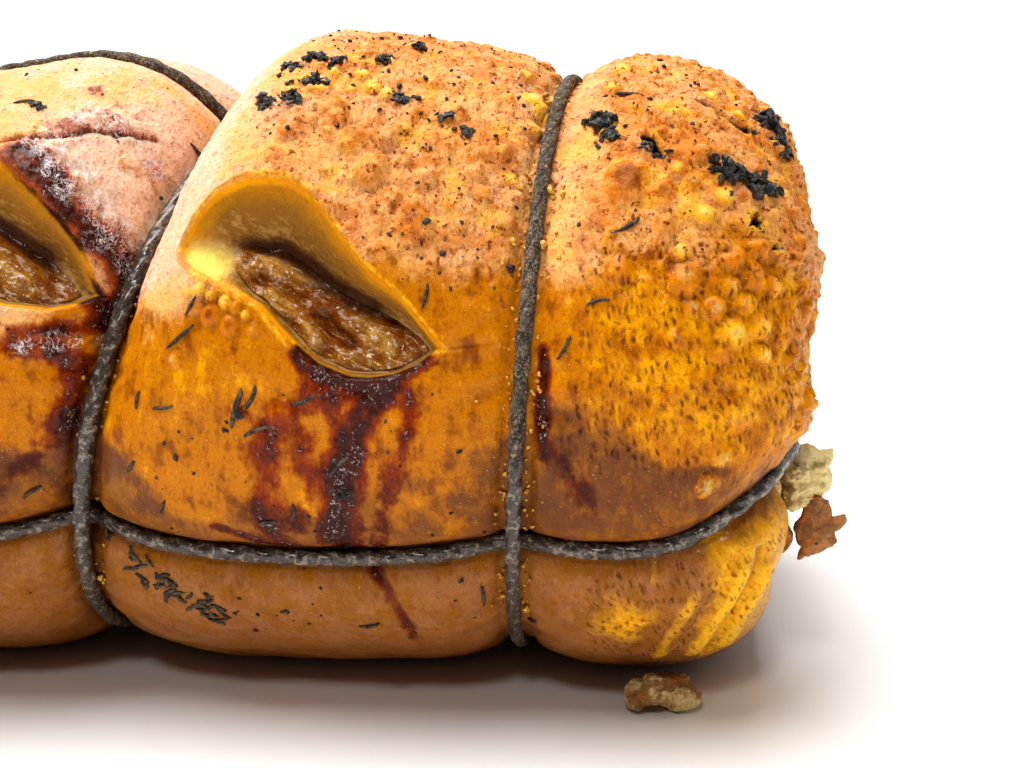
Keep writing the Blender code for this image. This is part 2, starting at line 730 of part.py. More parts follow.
def make_ties(tree):
    """The lengthwise loop, the strand along the top and the rings over them."""
    loop = side_path(tree)
    strand = top_path(tree, loop)
    long_loop = clear_chords(even_path(loop, True, LONG_STEP), tree, [], True)
    top_strand = clear_chords(even_path(strand, False, LONG_STEP), tree, [], False)
    dress(make_twine("long_loop", long_loop, True), "twine")
    dress(make_twine("top_strand", top_strand, False), "twine")
    under = [long_loop + long_loop[:1], top_strand]
    for name, tie in TIES.items():
        path = tie_path(tie, tree, under)
        path = clear_chords(even_path(path, True, RING_STEP), tree, under, True)
        ring = make_twine(name, path, True)
        dress(boolean(ring, "UNION", make_knot(name, path, tree)), "twine")


def make_material(key):
    """A plain shader with the colour and roughness of one kind of surface."""
    name, colour, roughness = MATERIALS[key]
    material = bpy.data.materials.get(name) or bpy.data.materials.new(name)
    material.use_nodes = True
    shader = material.node_tree.nodes["Principled BSDF"]
    shader.inputs["Base Color"].default_value = (*colour, 1.0)
    shader.inputs["Roughness"].default_value = roughness
    shader.inputs["Metallic"].default_value = 0.0
    return material


def make_stuffing():
    """The spiral of stuffing with the lumps that stand out at both ends."""
    band = make_prism("stuffing", spiral_outline(0.0), STUFFING_HALF)
    lumps = [
        lump(f"lump_{i}", centre, halves, rough=0.30, segments=12, rings=7)
        for i, (centre, halves) in enumerate(SEAM_LUMPS)
    ]
    return boolean(band, "UNION", lumps, "MANIFOLD")


def dress(item, key):
    """Give an object its one material and smooth shading."""
    item.data.materials.clear()
    item.data.materials.append(make_material(key))
    return shaded(item)


for old in list(bpy.data.objects):
    bpy.data.objects.remove(old)
PART = bpy.data.collections.new("porchetta")
bpy.context.scene.collection.children.link(PART)

stuffing = dress(make_stuffing(), "stuffing")
roll = make_roll()
bare = bmesh.new()
bare.from_mesh(roll.data)
skin_tree = BVHTree.FromBMesh(bare)
bare.from_mesh(stuffing.data)
make_ties(BVHTree.FromBMesh(bare))
bare.free()

hollows = [make_slit_cutter(name, *slit) for name, slit in SLITS.items()]
hollows.append(make_prism("bore", spiral_outline(FIT_GAP), 0.2))
hollows += [
    lump(f"pocket_{i}", centre, [half + FIT_GAP for half in halves], segments=12, rings=7)
    for i, (centre, halves) in enumerate(SEAM_LUMPS + (FALLEN_LUMP,))
]
boolean(roll, "DIFFERENCE", hollows)
boolean(roll, "UNION", make_toppings(skin_tree), "MANIFOLD")
dress(roll, "roll")
fallen = lump("fallen_stuffing", *FALLEN_LUMP, rough=0.25, segments=12, rings=7)
dress(fallen, "fallen_stuffing")
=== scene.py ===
"""Looks of a porchetta: a boned, stuffed and rolled joint of pork, tied with twine and roasted.

The roll lies along X with its slits towards -Y. A place on its surface is given by two numbers.
The first runs along the roll: -1 to 1 on the straight part, on to 2 down the rounded shoulder
and on to 3 in the middle of the end face. The second is the angle round the roll in degrees,
from the top towards -Y. Both are counted before the ties lean over.
"""

from __future__ import annotations

import itertools
import logging
import math
from collections.abc import Callable, Sequence
from dataclasses import dataclass
from enum import Enum
from functools import reduce
from operator import add

import bpy
import numpy as np
from mathutils import Matrix

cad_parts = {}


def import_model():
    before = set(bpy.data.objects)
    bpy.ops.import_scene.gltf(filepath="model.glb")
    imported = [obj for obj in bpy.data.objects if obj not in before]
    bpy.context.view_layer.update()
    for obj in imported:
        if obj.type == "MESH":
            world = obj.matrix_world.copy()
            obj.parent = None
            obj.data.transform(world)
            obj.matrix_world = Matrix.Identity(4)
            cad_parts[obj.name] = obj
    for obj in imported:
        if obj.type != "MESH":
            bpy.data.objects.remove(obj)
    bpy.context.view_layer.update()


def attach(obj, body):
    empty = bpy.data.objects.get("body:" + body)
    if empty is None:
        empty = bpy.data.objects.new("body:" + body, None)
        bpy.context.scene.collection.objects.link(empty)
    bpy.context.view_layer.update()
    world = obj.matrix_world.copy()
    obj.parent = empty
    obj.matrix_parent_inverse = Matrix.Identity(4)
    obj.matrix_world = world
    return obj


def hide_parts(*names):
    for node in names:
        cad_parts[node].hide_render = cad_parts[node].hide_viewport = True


Array = np.ndarray
Colour = tuple[float, float, float, float]
Triple = tuple[float, float, float]
Points = Sequence[tuple[float, float]]
Chain = tuple[Points, float, float]
Item, Material, Socket = bpy.types.Object, bpy.types.Material, bpy.types.NodeSocket
ROOT = "root"
SEED = 7
MM = 0.001
TWINE_STEP = 0.0008  # metres between two rings of a twine
FACE_MIDDLE = 2.985  # the last ring, just short of the middle of an end face
log = logging.getLogger("porchetta")


class Slot(Enum):
    """The record's material slots."""

    SKIN = "skin"
    STUFFING = "stuffing"
    TWINE = "twine"


# ---- numbers


def ease(low: float, high: float, value: Array) -> Array:
    """Rise smoothly from 0 at low to 1 at high: 3v^2 - 2v^3 of the clipped share v.

    Args:
        low: Value where the rise starts.
        high: Value where it ends; below low, the rise turns into a fall.
        value: Any array.
    Returns:
        An array of the same shape.
    """
    v = np.clip((np.asarray(value, float) - low) / (high - low), 0.0, 1.0)
    return v * v * (3.0 - 2.0 * v)


def turn_gap(angle: Array, centre: Array | float) -> Array:
    """Signed difference of two angles in degrees, between -180 and 180."""
    return (np.asarray(angle, float) - centre + 180.0) % 360.0 - 180.0


def unit(vectors: Array) -> Array:
    """Vectors scaled to length one."""
    return vectors / np.maximum(np.linalg.norm(vectors, axis=-1, keepdims=True), 1e-12)


def columns(*parts: Array) -> Array:
    """Arrays side by side in a new last axis."""
    return np.stack(parts, axis=-1)


def strongest(*fields: Array) -> Array:
    """The greatest of several arrays at each place."""
    return reduce(np.maximum, fields)


@dataclass(eq=False)
class Line:
    """A value along the roll, given by a few points and softened at its corners.

    The points are joined by straight pieces, which a running bell-shaped mean then rounds.
    """

    points: Points
    soft: float = 0.006

    def __post_init__(self) -> None:
        """Work the softened table out once."""
        xs, ys = zip(*self.points)
        step = 0.0005
        self.grid = np.arange(xs[0] - 0.06, xs[-1] + 0.06, step)
        raw = np.interp(self.grid, xs, ys)
        reach = int(3.0 * self.soft / step) + 1
        bell = np.exp(-((np.arange(-reach, reach + 1) * step / self.soft) ** 2))
        padded = np.pad(raw, reach, mode="edge")
        self.values = np.convolve(padded, bell / bell.sum(), mode="valid")

    def __call__(self, at: Array) -> Array:
        """Read the line at stations."""
        return np.interp(at, self.grid, self.values)


class Grain:
    """Random fields in space, worked out for whole arrays of points and the same every run."""

    def __init__(self, seed: int) -> None:
        """Draw the tables of directions and offsets."""
        rng = np.random.default_rng(seed)
        order = rng.permutation(256)
        self.order = np.concatenate([order, order])
        self.slopes = unit(rng.normal(size=(256, 3)))
        self.offsets = rng.random((256, 3))

    def _draw(self, cell: Array) -> Array:
        """A fixed number from 0 to 255 for each cell of the unit grid."""
        c = cell & 255
        order = self.order
        return order[order[order[c[:, 0]] + c[:, 1]] + c[:, 2]]

    def smooth(self, at: Array, size: float | Triple) -> Array:
        """Gradient noise from about -1 to 1: slopes at the corners of a grid, blended by quintics.

        Args:
            at: Points with three numbers in their last axis.
            size: Width of a grid cell, or one width for each axis.
        Returns:
            One number for each point.
        """
        p = at.reshape(-1, 3) / np.asarray(size) + 57.31
        cell = np.floor(p).astype(np.int64)
        f = p - cell
        w = f * f * f * (f * (f * 6.0 - 15.0) + 10.0)
        total = np.zeros(len(p))
        for corner in itertools.product((0, 1), repeat=3):
            corner = np.array(corner)
            slope = self.slopes[self._draw(cell + corner)]
            share = np.where(corner, w, 1.0 - w).prod(axis=1)
            total += ((f - corner) * slope).sum(axis=1) * share
        return (1.6 * total).reshape(at.shape[:-1])

    def cells(self, at: Array, size: float | Triple) -> tuple[Array, ...]:
        """Distances to the nearest and second scattered centre, in cells, and the centre's number.

        Args:
            at: Points with three numbers in their last axis.
            size: Mean distance of the centres.
        Returns:
            Nearest distance, second distance and a random number from 0 to 1 of the nearest.
        """
        p = at.reshape(-1, 3) / np.asarray(size) + 31.7
        cell = np.floor(p).astype(np.int64)
        first, second, ident = (np.full(len(p), 9.0) for _ in range(3))
        for corner in itertools.product((-1, 0, 1), repeat=3):
            there = cell + np.array(corner)
            drawn = self._draw(there)
            gap = np.linalg.norm(there + self.offsets[drawn] - p, axis=1)
            closer = gap < first
            second = np.where(closer, first, np.minimum(second, gap))
            ident = np.where(closer, drawn, ident)
            first = np.minimum(first, gap)
        shape = at.shape[:-1]
        return first.reshape(shape), second.reshape(shape), (ident / 255.0).reshape(shape)


# ---- meshes


def lay_mesh(name: str, points: Array, quads: Array, tris: Array) -> Item:
    """Make a smooth closed mesh object whose faces point out.

    Args:
        name: The object's name.
        points: Vertices, one row each.
        quads: Four-cornered faces as vertex numbers.
        tris: Three-cornered faces as vertex numbers.
    Returns:
        The new object, linked to the scene.
    """
    fan = np.concatenate([tris, quads[:, :3], quads[:, [0, 2, 3]]]) if len(quads) else tris
    a, b, c = (points[fan[:, k]] for k in range(3))
    if np.einsum("ij,ij->", a, np.cross(b, c)) < 0.0:
        quads, tris = quads[:, ::-1], tris[:, ::-1]
    mesh = bpy.data.meshes.new(name)
    corners = np.concatenate([quads.ravel(), tris.ravel()]).astype(np.int32)
    starts = np.concatenate(
        [np.arange(len(quads)) * 4, quads.size + np.arange(len(tris)) * 3]
    ).astype(np.int32)
    mesh.vertices.add(len(points))
    mesh.vertices.foreach_set("co", points.astype(np.float32).ravel())
    mesh.loops.add(len(corners))
    mesh.loops.foreach_set("vertex_index", corners)
    mesh.polygons.add(len(starts))
    mesh.polygons.foreach_set("loop_start", starts)
    mesh.update(calc_edges=True)
    mesh.validate()
    mesh.shade_smooth()
    item = bpy.data.objects.new(name, mesh)
    bpy.context.scene.collection.objects.link(item)
    return item


def tube_faces(index: Array, first: int | None, last: int | None) -> tuple[Array, Array]:
    """Faces between the rings of a tube, where neighbours in a ring may be the same vertex.

    Args:
        index: Vertex numbers, one ring a row; each ring closes on itself.
        first: Vertex that closes the tube before the first ring, or None for an endless tube.
        last: Vertex that closes it after the last ring.
    Returns:
        Four-cornered and three-cornered faces.
    """
    rings = np.vstack([index, index[:1]]) if first is None else index
    turned = np.roll(rings, -1, axis=1)
    four = columns(rings[:-1], turned[:-1], turned[1:], rings[1:]).reshape(-1, 4)
    flat_low, flat_high = four[:, 0] == four[:, 1], four[:, 2] == four[:, 3]
    quads = four[~flat_low & ~flat_high]
    tris = [four[flat_low & ~flat_high][:, [0, 2, 3]], four[~flat_low & flat_high][:, :3]]
    if first is not None:
        for ring, turn, pole in ((rings[0], turned[0], first), (rings[-1], turned[-1], last)):
            keep = ring != turn
            fan = columns(turn[keep], ring[keep], np.full(keep.sum(), pole))
            tris.append(fan if pole == first else fan[:, ::-1])
    return quads, np.concatenate(tris)


def join_tubes(tubes: Sequence[tuple[Array, bool]]) -> tuple[Array, Array, Array]:
    """Tubes side by side, each closed along its length or by a pole at both ends.

    Args:
        tubes: Rings of points as ring, column, axis, and True if the last ring joins the first.
    Returns:
        Points, four-cornered and three-cornered faces.
    """
    points, quads, tris, start = [], [], [], 0
    for rings, looped in tubes:
        size = rings[..., 0].size
        poles = (None, None) if looped else (size, size + 1)
        four, three = tube_faces(np.arange(size).reshape(rings.shape[:2]), *poles)
        points.append(rings.reshape(-1, 3))
        if not looped:
            points.append(np.stack([rings[0].mean(axis=0), rings[-1].mean(axis=0)]))
        quads.append(four + start)
        tris.append(three + start)
        start += size + (0 if looped else 2)
    return np.vstack(points), np.vstack(quads), np.vstack(tris)


def paint_values(item: Item, values: dict[str, Array]) -> None:
    """Store one number for each vertex under each name, for the material to read."""
    for name, array in values.items():
        layer = item.data.attributes.new(name, "FLOAT", "POINT")
        filled = np.zeros(len(item.data.vertices), np.float32)
        filled[: len(array)] = array
        layer.data.foreach_set("value", filled)


def install(
    item: Item, material: Material, nodes: Sequence[str] = ()
) -> Item:
    """Dress a piece, let it ride on the part and hide the solids that it stands for.

    Args:
        item: The piece.
        material: Its finish.
        nodes: Names of the solids that it replaces.
    Returns:
        The same piece.
    """
    item.data.materials.clear()
    item.data.materials.append(material)
    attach(item, ROOT)
    if nodes:
        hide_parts(*nodes)
    log.info("%s: %d vertices", item.name, len(item.data.vertices))
    return item


# ---- shader tools


def paint(code: str) -> Colour:
    """A colour written as on a paint card, such as e0a060, turned into light values."""
    parts = (int(code[i : i + 2], 16) / 255.0 for i in (0, 2, 4))
    light = [p / 12.92 if p < 0.04045 else ((p + 0.055) / 1.055) ** 2.4 for p in parts]
    return (*light, 1.0)


def arithmetic(kind: str, swapped: bool = False) -> Callable[[Tap, Tap | float], Tap]:
    """An operator of Tap that adds one Math node; swapped puts the other number first.

    Args:
        kind: The Math node's operation.
        swapped: True puts the other number first.
    Returns:
        The operator, as a method of Tap.
    """

    def work(self: Tap, other: Tap | float) -> Tap:
        """Add the node on both numbers."""
        terms = (other, self) if swapped else (self, other)
        node = self.graph.node("Math", dict(enumerate(terms)), operation=kind)
        return Tap(self.graph, node.outputs[0])

    return work


class Tap:
    """A number coming out of a node; arithmetic on it adds Math nodes."""

    def __init__(self, graph: Graph, socket: Socket) -> None:
        """Keep the graph and the socket."""
        self.graph, self.socket = graph, socket

    __add__, __radd__ = arithmetic("ADD"), arithmetic("ADD", True)
    __sub__, __rsub__ = arithmetic("SUBTRACT"), arithmetic("SUBTRACT", True)
    __mul__, __rmul__ = arithmetic("MULTIPLY"), arithmetic("MULTIPLY", True)
    most, least = arithmetic("MAXIMUM"), arithmetic("MINIMUM")

    def step(self, low: float, high: float) -> Tap:
        """Rise smoothly from 0 at low to 1 at high."""
        sockets = {"Value": self, "From Min": low, "From Max": high}
        node = self.graph.node("MapRange", sockets, interpolation_type="SMOOTHSTEP")
        return Tap(self.graph, node.outputs[0])


class Graph:
    """The node tree of a material, or of the surround, while it is made."""

    def __init__(self, owner: Material | bpy.types.World) -> None:
        """Start with an empty node tree."""
        owner.use_nodes = True
        self.owner, self.tree = owner, owner.node_tree
        self.tree.nodes.clear()
        self.coords = self.node("TexCoord").outputs
        self.values: dict[str, Tap] = {}

    def node(self, kind: str, sockets: dict | None = None, **settings: object) -> bpy.types.Node:
        """Add a node.

        Args:
            kind: The node's type, without its prefix.
            sockets: Values or links of its input sockets, by name or number.
            settings: Its own settings, which are set first.
        Returns:
            The node.
        """
        node = self.tree.nodes.new(f"ShaderNode{kind}")
        for key, value in settings.items():
            setattr(node, key, value)
        for key, value in (sockets or {}).items():
            value = value.socket if isinstance(value, Tap) else value
            if isinstance(value, Socket):
                self.tree.links.new(value, node.inputs[key])
            else:
                node.inputs[key].default_value = value
        return node

    def value(self, name: str) -> Tap:
        """A number stored on the mesh."""
        if name not in self.values:
            node = self.node("Attribute", attribute_name=name)
            self.values[name] = Tap(self, node.outputs["Fac"])
        return self.values[name]

    def place(self, scale: Triple, turn: Triple, kind: str = "POINT") -> Socket:
        """Object coordinates, scaled along the axes and turned round them."""
        sockets = {"Vector": self.coords["Object"], "Scale": scale, "Rotation": turn}
        return self.node("Mapping", sockets, vector_type=kind).outputs[0]

    def noise(
        self,
        size: float,
        detail: float,
        rough: float = 0.55,
        vector: Socket | None = None,
        bend: float = 0.0,
    ) -> Tap:
        """Cloudy noise from 0 to 1, mostly about 0.5, whose clouds are about size wide."""
        sockets = {
            "Vector": vector or self.coords["Object"], "Scale": 1.0 / size, "Detail": detail,
            "Roughness": rough, "Distortion": bend,
        }
        return Tap(self, self.node("TexNoise", sockets).outputs["Fac"])

    def cells(self, size: float, feature: str = "F1") -> Tap:
        """Distance to scattered centres that are about size apart, in cells."""
        sockets = {"Vector": self.coords["Object"], "Scale": 1.0 / size, "Randomness": 1.0}
        return Tap(self, self.node("TexVoronoi", sockets, feature=feature).outputs["Distance"])

    def blend(self, share: Tap | float, below: object, above: object, mode: str = "MIX") -> Socket:
        """Mix two colours: share 0 gives the first, share 1 the second, or their product."""
        sockets = {0: share, 6: below, 7: above}
        return self.node("Mix", sockets, data_type="RGBA", blend_type=mode).outputs[2]

    def bump(self, height: Tap, depth: float) -> Socket:
        """Turn a height from 0 to 1 into a normal, as if it were depth metres deep."""
        sockets = {"Height": height, "Distance": depth, "Strength": 1.0}
        return self.node("Bump", sockets).outputs["Normal"]

    def finish(self, sockets: dict[str, object]) -> Material:
        """Close the tree with one Principled shader."""
        shader = self.node("BsdfPrincipled", sockets)
        self.node("OutputMaterial", {"Surface": shader.outputs[0]})
        return self.owner


@dataclass(frozen=True)
class Clouds:
    """Noises of several sizes by name, and weighted sums of them."""

    noises: dict[str, Tap]

    def mean(self, **weights: float) -> Tap:
        """The named noises times their weights, added up."""
        return reduce(add, (self.noises[name] * w for name, w in weights.items()))

    def sway(self, **weights: float) -> Tap:
        """How far the named noises are from a half, times their weights, added up."""
        return reduce(add, ((self.noises[name] - 0.5) * w for name, w in weights.items()))


class Layers:
    """Colours of a finish laid over each other, the first one at the bottom."""

    def __init__(self, graph: Graph, finish: object, ground: str) -> None:
        """Start with one of the finish's colours."""
        self.graph, self.finish = graph, finish
        self.top: object = self.colour(ground)

    def colour(self, name: str) -> Colour:
        """One of the finish's colours as light values."""
        return paint(getattr(self.finish, name))

    def lay(self, share: Tap | float, above: str | Layers, mode: str = "MIX") -> None:
        """Lay one of the colours, or other layers, over what is there."""
        above = above.top if isinstance(above, Layers) else self.colour(above)
        self.top = self.graph.blend(share, self.top, above, mode)


# ---- the roll's form


@dataclass(frozen=True)
class Tie:
    """One tie: its station, how far it leans at the top, and its groove's depths and reaches."""

    station: float
    lean: float
    top: float
    front: float
    under: float
    left: float
    right: float

    def depth(self, angle: Array) -> Array:
        """Groove depth round the roll: a weighted mean of top, front and underside."""
        cos = np.cos(np.radians(angle))
        top, under = np.clip(cos, 0.0, 1.0) ** 1.2, np.clip(-cos, 0.0, 1.0) ** 1.2
        return self.front * (1.0 - top - under) + self.top * top + self.under * under


@dataclass(frozen=True)
class Crease:
    """One lengthwise crease: its line, depth, extra depth under the ties and reach to each side."""

    line: Line
    depth: float
    dip: float
    over: float
    below: float


TIES = {
    "tie_a": Tie(-0.097, 0.01, 0.013, 0.009, 0.008, 0.034, 0.03),
    "tie_b": Tie(0.0, 0.02, 0.029, 0.011, 0.009, 0.036, 0.032),
    "tie_c": Tie(0.096, 0.0075, 0.007, 0.0045, 0.007, 0.02, 0.018),
}
FRONT_CREASE = Line(
    (
        (-0.159, 98), (-0.13, 107), (-0.097, 107), (-0.05, 110), (-0.004, 108), (0.02, 110),
        (0.057, 112), (0.095, 110), (0.125, 109.5), (0.148, 103), (0.159, 98),
    )
)
TOP_CREASE = Line(
    ((-0.13, 4), (-0.06, 11), (-0.01, 13), (0.03, -6), (0.07, -4), (0.12, -10))
)
BACK_CREASE = Line(
    ((-0.159, 262), (-0.12, 256), (-0.05, 250), (0.05, 253), (0.159, 262))
)


@dataclass(frozen=True)
class RollForm:
    """The roll's whole surface as a function of place along it and angle round it."""

    half_length: float = 0.159
    axis: float = 0.0715
    half_width: float = 0.086
    under: float = 0.0765
    shoulder: float = 0.034
    shoulder_scale: float = 0.045
    rim: float = 0.71
    lip: float = 0.67
    recess: float = 0.0095
    dome: float = 0.003
    floor_half: float = 0.0034
    crown: Line = Line(
        ((-0.15, 0.076), (-0.097, 0.08), (-0.06, 0.0825), (-0.02, 0.087), (0, 0.089),
         (0.03, 0.0925), (0.06, 0.088), (0.096, 0.0815), (0.125, 0.08), (0.15, 0.0745))
    )
    creases: tuple[Crease, ...] = (
        Crease(TOP_CREASE, 0.0015, 0.0035, 0.01, 0.01),
        Crease(FRONT_CREASE, 0.006, 0.0, 0.016, 0.012),
        Crease(BACK_CREASE, 0.0045, 0.001, 0.014, 0.012),
    )

    @property
    def straight(self) -> float:
        """Half the length of the part between the shoulders."""
        return self.half_length - self.shoulder

    def lean(self, station: Array) -> Array:
        """How far the skin is dragged along X at the top, in straight pieces from tie to tie."""
        xs = [-self.half_length, *(t.station for t in TIES.values()), self.half_length]
        ys = [0.0, *(t.lean for t in TIES.values()), 0.0]
        return np.interp(station, xs, ys)

    @staticmethod
    def groove(distance: Array, reach: Array) -> Array:
        """Share of a groove's depth: 1 at its floor and 1-(1-(1-v)^2)^0.6 up to its shoulder."""
        v = np.clip(distance / reach, 0.0, 1.0)
        return 1.0 - (1.0 - (1.0 - v) ** 2) ** 0.6

    def bare_radius(self, station: Array, angle: Array) -> Array:
        """A full oval, a superellipse, that is cut off flat where the roll rests.

        Args:
            station: Metres along the roll.
            angle: Degrees round it.
        Returns:
            The radius in metres.
        """
        turn = np.radians(angle)
        cos, sin = np.cos(turn), np.sin(turn)
        tall = np.where(cos > 0.0, self.crown(station + self.lean(station) * cos), self.under)
        power = np.where(cos > 0.0, 2.25, 2.1)
        oval = np.abs(cos / tall) ** power + np.abs(sin / self.half_width) ** power
        oval = oval ** (-1.0 / power)
        flat = self.axis / np.maximum(-cos, 0.1)
        return np.where(cos < -0.1, np.minimum(oval, flat), oval)

    def radius(self, station: Array, angle: Array, with_creases: bool = True) -> Array:
        """Radius of the skin, less the grooves of the ties and the creases of the long twine.

        Args:
            station: Metres along the roll.
            angle: Degrees round it.
            with_creases: False leaves the lengthwise creases out, as a taut ring would.
        Returns:
            The radius in metres.
        """
        station, angle = np.broadcast_arrays(np.asarray(station, float), np.asarray(angle, float))
        radius = self.bare_radius(station, angle)
        for tie in TIES.values():
            away = station - tie.station
            reach = np.where(away < 0.0, tie.left, tie.right)
            gap = np.abs(away) - self.floor_half
            radius = radius - tie.depth(angle) * self.groove(gap, reach)
        for crease in self.creases if with_creases else ():
            away = turn_gap(angle, crease.line(station))
            arc = np.radians(np.abs(away) - 1.9) * self.half_width
            nearest = np.min([np.abs(station - t.station) for t in TIES.values()], axis=0)
            deep = crease.depth + crease.dip * np.exp(-((nearest / 0.012) ** 2))
            reach = np.where(away < 0.0, crease.over, crease.below)
            radius = radius - deep * self.groove(arc, reach)
        return radius

    def stop(self, side: Array, angle: Array) -> Array:
        """Where the skin ends: notched by the twine, shorter in the low flap, and ragged.

        Args:
            side: -1 for the left end and 1 for the right.
            angle: Degrees round it.
        Returns:
            The end's X in metres.
        """
        angle = np.asarray(angle, float) % 360.0
        low = ease(98.0, 108.0, angle) * (1.0 - ease(230.0, 260.0, angle))
        pulled = 0.0
        for centre, depth in ((101.0, 0.007), (260.0, 0.006), (5.0, 0.0025)):
            pulled = pulled + depth * np.exp(-((turn_gap(angle, centre) / 7.0) ** 2))
        ragged = 0.0009 * np.sin(np.radians(7.0 * angle + 40.0 * side))
        ragged = ragged + 0.0006 * np.sin(np.radians(13.0 * angle))
        flap = np.where(side > 0, 0.0055, 0.003)
        return side * (self.half_length - 0.0015 - flap * low - pulled + ragged)

    def place(self, along: Array, angle: Array) -> Array:
        """Points of the surface.

        The straight part is the radius turned round the axis, with X dragged by the lean. On the
        shoulder X follows a sine and the radius a cosine down to the rim. The face steps in at
        the lip, then rises a little towards its middle.

        Args:
            along: Place along the roll, from -3 to 3.
            angle: Degrees round it.
        Returns:
            Points with three numbers in a new last axis.
        """
        along, angle = np.broadcast_arrays(np.asarray(along, float), np.asarray(angle, float))
        side = np.sign(along)
        start = np.clip(along, -1.0, 1.0) * self.straight
        bend = np.clip(np.abs(along) - 1.0, 0.0, 1.0) * (math.pi / 2.0)
        depth = np.sin(bend)
        share = self.rim + (1.0 - self.rim) * np.cos(bend)
        share = np.where(np.abs(along) > 2.0, self.rim * (3.0 - np.abs(along)), share)
        run = (self.stop(side, angle) - start) * depth
        radius = self.radius(start + run, angle) * share
        turn = np.radians(angle)
        x = start + run + self.lean(start) * np.cos(turn) * (1.0 - depth)
        step = ease(self.rim, self.lip, share)
        x = x - side * step * (self.recess - self.dome * (1.0 - (share / self.lip) ** 2))
        z = self.axis + radius * np.cos(turn)
        return columns(x, -radius * np.sin(turn), np.maximum(z, 0.0))

    def normal(self, along: Array, angle: Array) -> Array:
        """Directions out of the surface, from its slopes along and round the roll."""
        d_along, d_angle = 0.004, 0.5
        ahead = self.place(along + d_along, angle) - self.place(along - d_along, angle)
        round_ = self.place(along, angle + d_angle) - self.place(along, angle - d_angle)
        return unit(-np.cross(ahead, round_))

    def along(self, station: Array) -> Array:
        """Place along the roll of a station, on the straight part or the shoulders."""
        station = np.asarray(station, float)
        over = np.maximum(np.abs(station) - self.straight, 0.0)
        return np.sign(station) * (
            np.minimum(np.abs(station), self.straight) / self.straight + over / self.shoulder_scale
        )

    def station(self, along: Array) -> Array:
        """Station of a place along the roll; past the straight part it counts on in metres."""
        past = self.straight + (np.abs(along) - 1.0) * self.shoulder_scale
        return np.where(np.abs(along) <= 1.0, along * self.straight, np.sign(along) * past)


FORM = RollForm()
GRAIN = Grain(SEED)


# ---- the slits


def arc(angle: Array, centre: Array | float = 0.0) -> Array:
    """Length of an angle on the skin, in metres."""
    return np.radians(turn_gap(angle, centre)) * FORM.half_width


def spot(
    s: Array, a: Array, s0: float, a0: float, wide: float, tall: float, power: float = 1.0
) -> Array:
    """A soft oval patch: e to the minus v^power, where v is the squared distance in radii."""
    v = ((s - s0) / wide) ** 2 + (arc(a, a0) / tall) ** 2
    return np.exp(-(v**power))


@dataclass(frozen=True)
class Slit:
    """A slit cut through the skin and opened by the heat.

    Lines give the angle of the upper rim and lower lip, and the width of the cut wall of rind
    and fat inside each of them, along the station.
    """

    left: float
    right: float
    rim: Line
    lip: Line
    wall_over: Line
    wall_below: Line
    depth_over: Line
    depth_below: Line
    meat: float
    shelf: float = 0.0036
    slope: float = 0.3
    web: tuple[float, float, float, float] = (0.0, 0.0, 0.001, 0.001)
    hood: float = 0.0036
    rind: float = 0.001
    glow: float = 1.0

    def middle(self, station: Array) -> Array:
        """Angle halfway between rim and lip."""
        return 0.5 * (self.rim(station) + self.lip(station))

    def hood_rise(self, station: Array, angle: Array) -> Array:
        """The skin curls up along the rim: a bell along the slit times a bell across it."""
        share = (station - self.left) / (self.right - self.left)
        bell = np.clip(1.0 - (2.0 * share - 0.85) ** 2, 0.0, 1.0)
        across = np.radians(turn_gap(angle, self.rim(station))) * FORM.half_width
        return self.hood * bell * np.exp(-((across / 0.01) ** 2))

    def hollow(self, station: Array, angle: Array) -> dict[str, Array]:
        """Depth and layers inside the slit, from the distances to its rim and to its lip.

        Behind each edge the depth grows fast through the rind and slower through the fat, down
        to the meat, which falls from the lip to a trench under the rim. The lesser of the two
        depths counts, joined softly.

        Args:
            station: Stations in metres.
            angle: Angles in degrees.
        Returns:
            Depth in metres, cut value (1 rind, 2 fat, 3 meat), the crevice at the wall's foot
            and the pale web of fat.
        """
        t = np.linspace(self.left, self.right, 500)
        web = spot(station, angle, *self.web)
        depths, cuts, feet = [], [], []
        for edge, wall, deep, floor, slope in (
            (self.rim, self.wall_over(station), self.depth_over(station), self.meat, 0.0),
            (self.lip, self.wall_below(station), self.depth_below(station), self.shelf, self.slope),
        ):
            away = arc(angle[..., None], edge(t))
            x = np.sqrt(np.min((station[..., None] - t) ** 2 + away**2, axis=-1))
            rind = np.minimum(self.rind, 0.6 * wall)
            in_rind = np.clip(x / rind, 0.0, 1.0)
            in_fat = np.clip((x - rind) / (wall - rind), 0.0, 1.0)
            depth = deep * (0.3 * in_rind**0.75 + 0.7 * in_fat**1.25)
            behind = np.clip(x - wall, 0.0, 1.0)
            depths.append(depth + (floor - deep) * ease(0.0, 0.0022, behind) + slope * behind)
            cuts.append(in_rind + in_fat + ease(0.0, 0.0006, x - wall))
            feet.append(np.exp(-(((x - wall - 0.0002) / 0.0026) ** 2)) * ease(0.0026, 0.0062, wall))
        soft = 0.0007
        depth = -soft * np.log(np.exp(-depths[0] / soft) + np.exp(-depths[1] / soft))
        depth = np.maximum(depth + soft * math.log(2.0) * np.exp(-depth / 0.001), 0.0)
        depth = depth + 0.0024 * feet[0] * ease(0.0, 0.004, depth)
        return {
            "depth": depth * (1.0 - 0.62 * web), "cut": np.minimum(*cuts) * (1.0 - 0.45 * web),
            "crevice": feet[0] * (1.0 - web), "web": web,
        }


